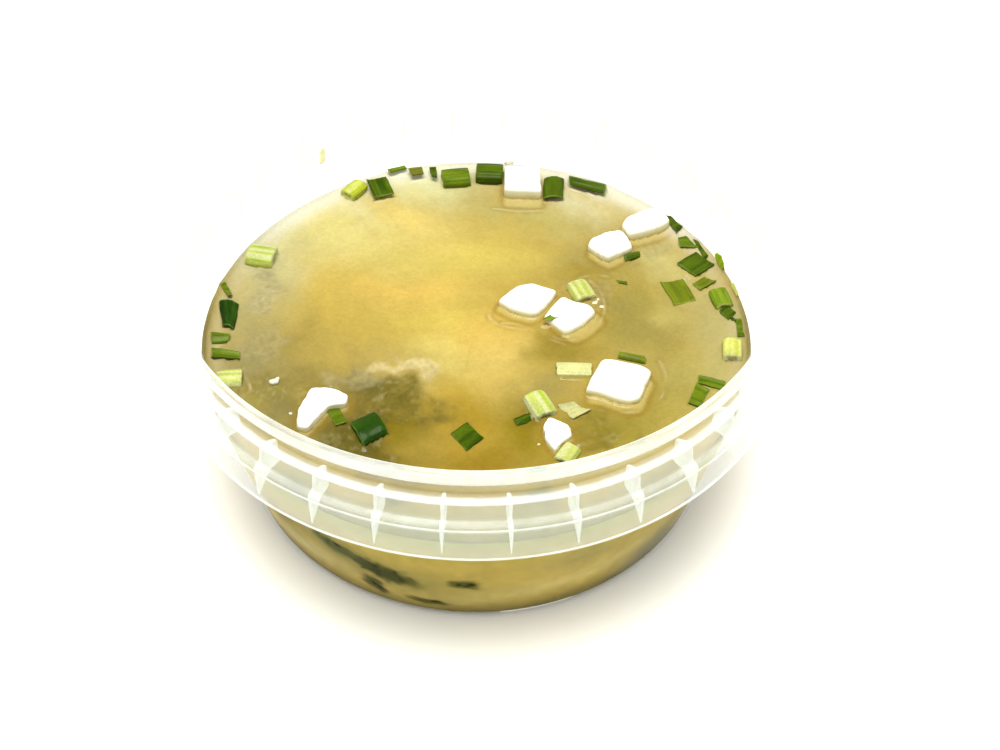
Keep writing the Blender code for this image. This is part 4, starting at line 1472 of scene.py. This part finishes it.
    def plan_colour(self, plan: Array) -> Array:
        """Colour of the liquid seen from above.

        Gold, with each cloud blended over it in turn at places that a slow
        noise has pushed about, then a curdled pattern of light and dark.

        Args:
            plan: places in plan, two to a row.

        Returns:
            A linear colour for each.
        """
        flat = np.concatenate([plan, np.zeros((*plan.shape[:-1], 1))], axis=-1)
        push = np.stack([Noise(21).layered(flat, 14.0), Noise(22).layered(flat, 14.0)], axis=-1)
        curl = np.stack([Noise(35).layered(flat, 3.6, 4), Noise(36).layered(flat, 3.6, 4)], axis=-1)
        pushed = plan + 5.0 * push + 2.4 * curl
        colour = np.broadcast_to(seen(self.body_colour), (*plan.shape[:-1], 3)).copy()
        for cloud in self.clouds:
            colour = mixed(colour, np.broadcast_to(seen(cloud.colour), colour.shape), cloud.share(pushed))
        torn = Noise(37).layered(flat, 2.6, 4)
        murk = np.zeros(plan.shape[:-1])
        for wisp in self.wisps:
            bell = wisp.share(pushed) / wisp.strength
            share = wisp.strength * ease(bell + 0.6 * torn * np.minimum(3 * bell, 1), 0.2, 0.8)
            colour = mixed(colour, np.broadcast_to(seen(wisp.colour), colour.shape), share)
            murk = np.maximum(murk, share)
        colour = self.texture(colour, flat, push, murk)
        for outline, sunk in self.bean_curd:
            colour = self.under_curd(colour, plan, outline, np.array(sunk))
        # Painted highlights along the ripple lines, with a band of painted shade just beside each.
        ripple_painted_highlight, shade = seen((255, 248, 204)), seen((168, 138, 50))
        fading = np.clip(0.45 + 1.1 * Noise(27).plain(flat, 2.4), 0, 1)
        for line in self.ripple_lines:
            away = line_distance(plan, cut_corners(line))
            colour = mixed(colour, np.broadcast_to(shade, colour.shape), 0.3 * fading * bump(away, 0.7, 0.4))
            colour = mixed(colour, np.broadcast_to(ripple_painted_highlight, colour.shape), 0.34 * fading * bump(away, 0, 0.2))
        return self.rim_colour(colour, plan)

    def under_curd(self, colour: Array, plan: Array, outline: Array, sunk: Array) -> Array:
        """Show a block's wet side through the liquid, with an amber halo of painted shadow about it.

        The side shows where the block's outline, moved the way its depth looks
        displaced, stands out from under the block; it fades with distance, and
        a darker line of painted shade runs along its far edge.

        Args:
            colour: the liquid's colours.
            plan: places in plan.
            outline: the block's outline.
            sunk: how far its foot looks moved.

        Returns:
            The colours with the side and halo in them.
        """
        away = np.maximum(outline_distance(plan, outline), 0)
        foot = outline_distance(plan, outline + sunk)
        amber, side, line = seen((206, 172, 74)), seen((238, 216, 132)), seen((170, 136, 44))
        # Painted shadow: an amber halo round the block; then painted shade along the sunk foot's far edge.
        colour = mixed(colour, np.broadcast_to(amber, colour.shape), 0.5 * np.exp(-away / 2.4))
        colour = mixed(colour, np.broadcast_to(line, colour.shape), 0.5 * bump(foot, 0.6, 0.55) * (away > 0))
        return mixed(colour, np.broadcast_to(side, colour.shape), 0.8 * ease(-foot, -0.3, 0.5) * np.exp(-away / 3.0))

    def rim_colour(self, colour: Array, plan: Array) -> Array:
        """Fade the liquid to cream along the back wall and darken the contact line at the sides, both painted
        reflections on the meniscus.

        Args:
            colour: the liquid's colours.
            plan: places in plan.

        Returns:
            The colours with the rim's in them.
        """
        edge = self.tub.wall_radius(self.level()) - self.tub.wall
        inside = np.maximum(edge - np.linalg.norm(plan, axis=-1), 0)
        # Painted reflection on the meniscus: a cream band along the back wall.
        back = ease(plan[..., 1], 14, 40)
        cream = np.broadcast_to(1.2 * seen((255, 252, 226)), colour.shape)
        colour = mixed(colour, cream, 0.85 * back * np.exp(-((inside / 3.6) ** 2)))
        side_pale_band = np.broadcast_to(seen((232, 216, 166)), colour.shape)
        side = ease(np.abs(plan[..., 0]), 40, 54)
        colour = mixed(colour, side_pale_band, 0.4 * side * bump(inside, 2.2, 1.6))
        # Painted reflection darkening the contact line at the sides, most towards the front.
        low = ease(-plan[..., 1], -16, 0)
        return colour * (1 - (0.08 + 0.34 * low) * side * np.exp(-inside / 0.5))[..., None]

    def texture(self, colour: Array, flat: Array, push: Array, murk: Array) -> Array:
        """Curdle the liquid: swirls where it is clear, mottling and pale grains where it is murky.

        The swirls are a field stretched along circles round the middle of the
        bright patch; the mottling is a layered field, and the grains are where
        a much finer field is high.

        Args:
            colour: the smooth colours.
            flat: places in plan, with a height of 0.
            push: how the slow field moves each place, -1 to 1.
            murk: how murky the liquid is, 0 to 1.

        Returns:
            The textured colours.
        """
        dark = ease(murk, 0.05, 0.6)
        around = flat[..., :2] - np.array([-6.0, 8.0]) + 1.5 * push
        turn = np.arctan2(around[..., 1], around[..., 0])
        reach = np.linalg.norm(around, axis=-1)
        ring = np.stack([reach, 14 * np.cos(turn), 14 * np.sin(turn)], axis=-1)
        swirl = Noise(26).layered(ring * np.array([1.0, 0.35, 0.35]), 4.2, 3)
        bent = flat + 4 * np.stack([push[..., 0], push[..., 1], push[..., 0] * 0], axis=-1)
        curdle = Noise(23).layered(bent, 5.0, 4)
        fine = (0.06 + 0.18 * dark) * Noise(29).layered(bent, 0.9, 2)
        colour = colour * (1 + 0.1 * swirl * (1 - dark) + (0.05 + 0.14 * dark) * curdle + fine)[..., None]
        grains = ease(Noise(25).layered(flat, 0.9, 2), 0.12, 0.55) * ease(curdle, -0.6, 0.2)
        pale = np.maximum(colour, colour * 0.75 + linear((240, 226, 170)) * 0.14)
        return mixed(colour, pale, (0.06 + 0.6 * dark) * grains)

    def ripples(self, plan: Array) -> Array:
        """Height added to the still surface by the wall and by all that floats.

        The liquid climbs a piece by a rise that dies away as exp(-distance /
        reach), and low ripples, bells in the distance from a line, stand
        round the tofu.

        Args:
            plan: places in plan, two to a row.

        Returns:
            Millimetres above the still level.
        """
        height = np.zeros(plan.shape[:-1])
        for outline, rise in self.floating:
            away = outline_distance(plan, outline)
            climb = rise * np.exp(-np.maximum(away, 0) / 0.9) - (rise + 0.9) * ease(-away, -0.15, 0.35)
            height = np.where(away > 0, np.maximum(height, climb), np.minimum(height, climb))
        flat = np.concatenate([plan, np.zeros((*plan.shape[:-1], 1))], axis=-1)
        fading = np.clip(0.45 + 1.1 * Noise(27).plain(flat, 2.4), 0, 1)
        for line in self.ripple_lines:
            height += 0.09 * fading * bump(line_distance(plan, cut_corners(line)), 0, 0.4)
        height += 0.012 * Noise(28).layered(flat, 2.6, 2)
        radius = np.linalg.norm(plan, axis=-1)
        edge = self.tub.wall_radius(self.level()) - self.tub.wall + self.reach_into_wall
        return height + self.edge_rise * np.exp(-(edge - radius) / self.edge_reach)

    def body(self) -> tuple[Array, Array]:
        """Points and colours of the closed body: the surface, the side and the underside.

        Returns:
            Rows by columns of points, and a colour for each.
        """
        offset = self.tub.wall - self.reach_into_wall
        edge = self.tub.wall_radius(self.level() + self.edge_rise) - offset
        share = np.linspace(0, 1, self.rings)
        radius = edge * (0.75 * share + 0.25 * np.sin(share * math.pi / 2))
        angle = np.linspace(0, 2 * math.pi, self.turns, endpoint=False)
        way = np.stack([np.cos(angle), np.sin(angle)], axis=-1)
        plan = radius[:, None, None] * way[None]
        still = self.level() + self.ripples(plan)
        surface = np.concatenate([plan, still[..., None]], axis=-1)
        colour = self.plan_colour(plan)
        drop = np.linspace(0, 1, self.side_rows)[1:]
        rim_height = still[-1]
        corner = self.tub.corner_height
        side_height = rim_height[None] * (1 - drop[:, None]) + corner * drop[:, None]
        side_radius = self.tub.wall_radius(side_height) - offset
        bend = np.linspace(0, math.pi / 2, 6)[1:]
        round_radius = self.tub.corner_radius - corner + (corner - offset) * np.cos(bend)
        round_height = corner - (corner - self.foot_rise) * np.sin(bend)
        inner_foot = self.tub.base_thickness - 0.2
        low_radius = np.concatenate([round_radius, [45.0, 30.0, 0.0]])
        low_height = np.concatenate([round_height, [inner_foot, inner_foot, inner_foot]])
        side_radius = np.concatenate([side_radius, np.repeat(low_radius[:, None], self.turns, 1)])
        side_height = np.concatenate([side_height, np.repeat(low_height[:, None], self.turns, 1)])
        side = np.concatenate([side_radius[..., None] * way[None], side_height[..., None]], axis=-1)
        points = np.concatenate([surface, side])
        return points, np.concatenate([colour, self.side_colour(side)])

    def side_colour(self, points: Array) -> Array:
        """Colour of the liquid against the wall: gold, with sunk murk and weed dark through it, and painted shade along
        its foot and at its front right.

        The clouds are placed by degrees round the tub and millimetres up it.

        Args:
            points: places on the side, three to a row.

        Returns:
            A linear colour for each.
        """
        drift = Noise(31).layered(points, 7.0, 3)
        turn = np.degrees(np.arctan2(points[..., 1], points[..., 0])) + 2.0 * drift
        place = np.stack([turn, points[..., 2] + 1.2 * Noise(33).layered(points, 5.0, 3)], axis=-1)
        colour = np.broadcast_to(seen((200, 174, 86)), points.shape).copy()
        for cloud in self.side_clouds:
            colour = mixed(colour, np.broadcast_to(seen(cloud.colour), colour.shape), cloud.share(place))
        torn = Noise(34).layered(points, 1.8, 4)
        for weed in self.weeds:
            bell = weed.share(place)
            shade = 0.92 * ease(bell + 0.42 * torn * np.minimum(3 * bell, 1), 0.26, 0.74)
            colour = mixed(colour, np.broadcast_to(seen(weed.colour), colour.shape), shade)
        grain = Noise(32).layered(points, 1.8, 3)
        return colour * (1 + 0.1 * drift + 0.16 * grain)[..., None] / self.side_light

    def build(self) -> bpy.types.Object:
        """Make the soup and hand it its place in the model."""
        points, colour = self.body()
        shape = Shape()
        shape.grid(points, wrap=True, broth=colour)
        made = shape.made("soup_broth", BrothLiquid().material())
        made.data.materials.append(BrothLiquid("broth_at_wall", gloss=0.6, mirror=0.0).material())
        middle = np.empty(3 * len(made.data.polygons))
        made.data.polygons.foreach_get("center", middle)
        middle = middle.reshape(-1, 3) / MM
        reach = np.linalg.norm(middle[:, :2], axis=1)
        still = self.tub.wall_radius(middle[:, 2]) - self.tub.wall
        wetted = (middle[:, 2] < self.level() - 1.5) & (reach > still - 12) | (middle[:, 2] < 1.5)
        wetted |= reach > still + 0.05
        made.data.polygons.foreach_set("material_index", wetted.astype(int))
        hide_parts("soup")
        return made


# ---- the room ---------------------------------------------------------------


@dataclass
class Studio:
    """A pale table, soft light all round, a soft lamp overhead, and the camera."""

    table_reach: float = 3.0
    sky: float = 0.92
    walls: float = 0.1
    softbox_light: float = 1.05
    softbox_size: float = 0.85
    softbox_place: tuple[float, float, float] = (-0.05, -0.04, 1.1)
    eye: tuple[float, float, float] = (0.00058, -0.25262, 0.27226)
    pitch: float = 0.785082
    yaw: float = 0.018045
    roll: float = -0.012034
    lens: float = 57.6

    def table(self) -> bpy.types.Object:
        """Lay the table as a wide disc at the foot of the tub."""
        shape = Shape()
        radius = np.array([0.0, 0.3, 1.0, self.table_reach])[:, None] / MM
        angle = np.linspace(0, 2 * math.pi, 64, endpoint=False)[None]
        points = np.stack([radius * np.cos(angle), radius * np.sin(angle), 0 * radius * angle], axis=-1)
        shape.grid(points, wrap=True)
        table = shape.made("table", PaleTable().material())
        return table

    def lights(self) -> None:
        """Light the scene evenly, with a soft lamp overhead and a dim room to mirror.

        A lamp of radius r and power P shines P / (pi r)^2, so one that lays
        softbox_light on a white card below it, at a distance d, needs
        softbox_light * (pi r)^2 * (1 + (d / r)^2).
        """
        world = bpy.data.worlds.new("studio")
        world.use_nodes = True
        tree = world.node_tree
        sky = tree.nodes["Background"]
        sky.inputs["Color"].default_value = (1.0, 1.0, 1.0, 1.0)
        ray = tree.nodes.new("ShaderNodeLightPath")
        strength = tree.nodes.new("ShaderNodeMapRange")
        strength.inputs["To Min"].default_value = self.sky
        strength.inputs["To Max"].default_value = self.walls
        tree.links.new(ray.outputs["Is Glossy Ray"], strength.inputs["Value"])
        tree.links.new(strength.outputs["Result"], sky.inputs["Strength"])
        bpy.context.scene.world = world
        softbox = bpy.data.lights.new("softbox", "AREA")
        softbox.shape = "DISK"
        softbox.size = self.softbox_size
        away, reach = Vector(self.softbox_place), self.softbox_size / 2
        softbox.energy = self.softbox_light * (math.pi * reach) ** 2 * (1 + (away.length / reach) ** 2)
        holder = bpy.data.objects.new("softbox", softbox)
        holder.location = self.softbox_place
        holder.rotation_euler = (-away).to_track_quat("-Z", "Y").to_euler()
        bpy.context.scene.collection.objects.link(holder)

    def camera(self) -> None:
        """Set the camera: pitched down, turned a little and rolled a hair."""
        level_right = Vector((math.cos(self.yaw), -math.sin(self.yaw), 0))
        ahead = Vector((
            math.sin(self.yaw) * math.cos(self.pitch), math.cos(self.yaw) * math.cos(self.pitch), -math.sin(self.pitch)
        ))
        level_up = level_right.cross(ahead)
        right = level_right * math.cos(self.roll) - level_up * math.sin(self.roll)
        up = level_right * math.sin(self.roll) + level_up * math.cos(self.roll)
        data = bpy.data.cameras.new("camera")
        data.lens = self.lens
        data.sensor_width = 36.0
        data.clip_start = 0.01
        camera = bpy.data.objects.new("camera", data)
        turned = Matrix((right, up, -ahead)).transposed().to_4x4()
        camera.matrix_world = Matrix.Translation(self.eye) @ turned
        bpy.context.scene.collection.objects.link(camera)
        bpy.context.scene.camera = camera

    def build(self) -> None:
        """Set up the whole room and its plain colour handling."""
        self.table()
        self.lights()
        self.camera()
        scene = bpy.context.scene
        scene.view_settings.view_transform = "Standard"
        scene.cycles.transparent_max_bounces = 32


def main() -> None:
    """Build every part in order and report each piece."""
    logging.basicConfig(level=logging.INFO, format="%(message)s")
    tub = Tub()
    onion = SpringOnion(tub.soup_level)
    tofu = Tofu(tub.soup_level)
    curd = [(piece.outline(), piece.sunk) for piece in tofu.pieces]
    floating = [(outline, 0.6) for outline, _ in curd]
    floating += [(cut.outline(), cut.rise()) for cut in onion.large + onion.small]
    soup = Soup(tub, floating, bean_curd=curd)
    made = tub.build() + [soup.build()] + tofu.build() + onion.build() + Scraps(tub).build()
    for piece in made:
        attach(piece, "root")
        log.info("%s: %d faces", piece.name, len(piece.data.polygons))
    Studio().build()


if __name__ == "__main__":
    main()
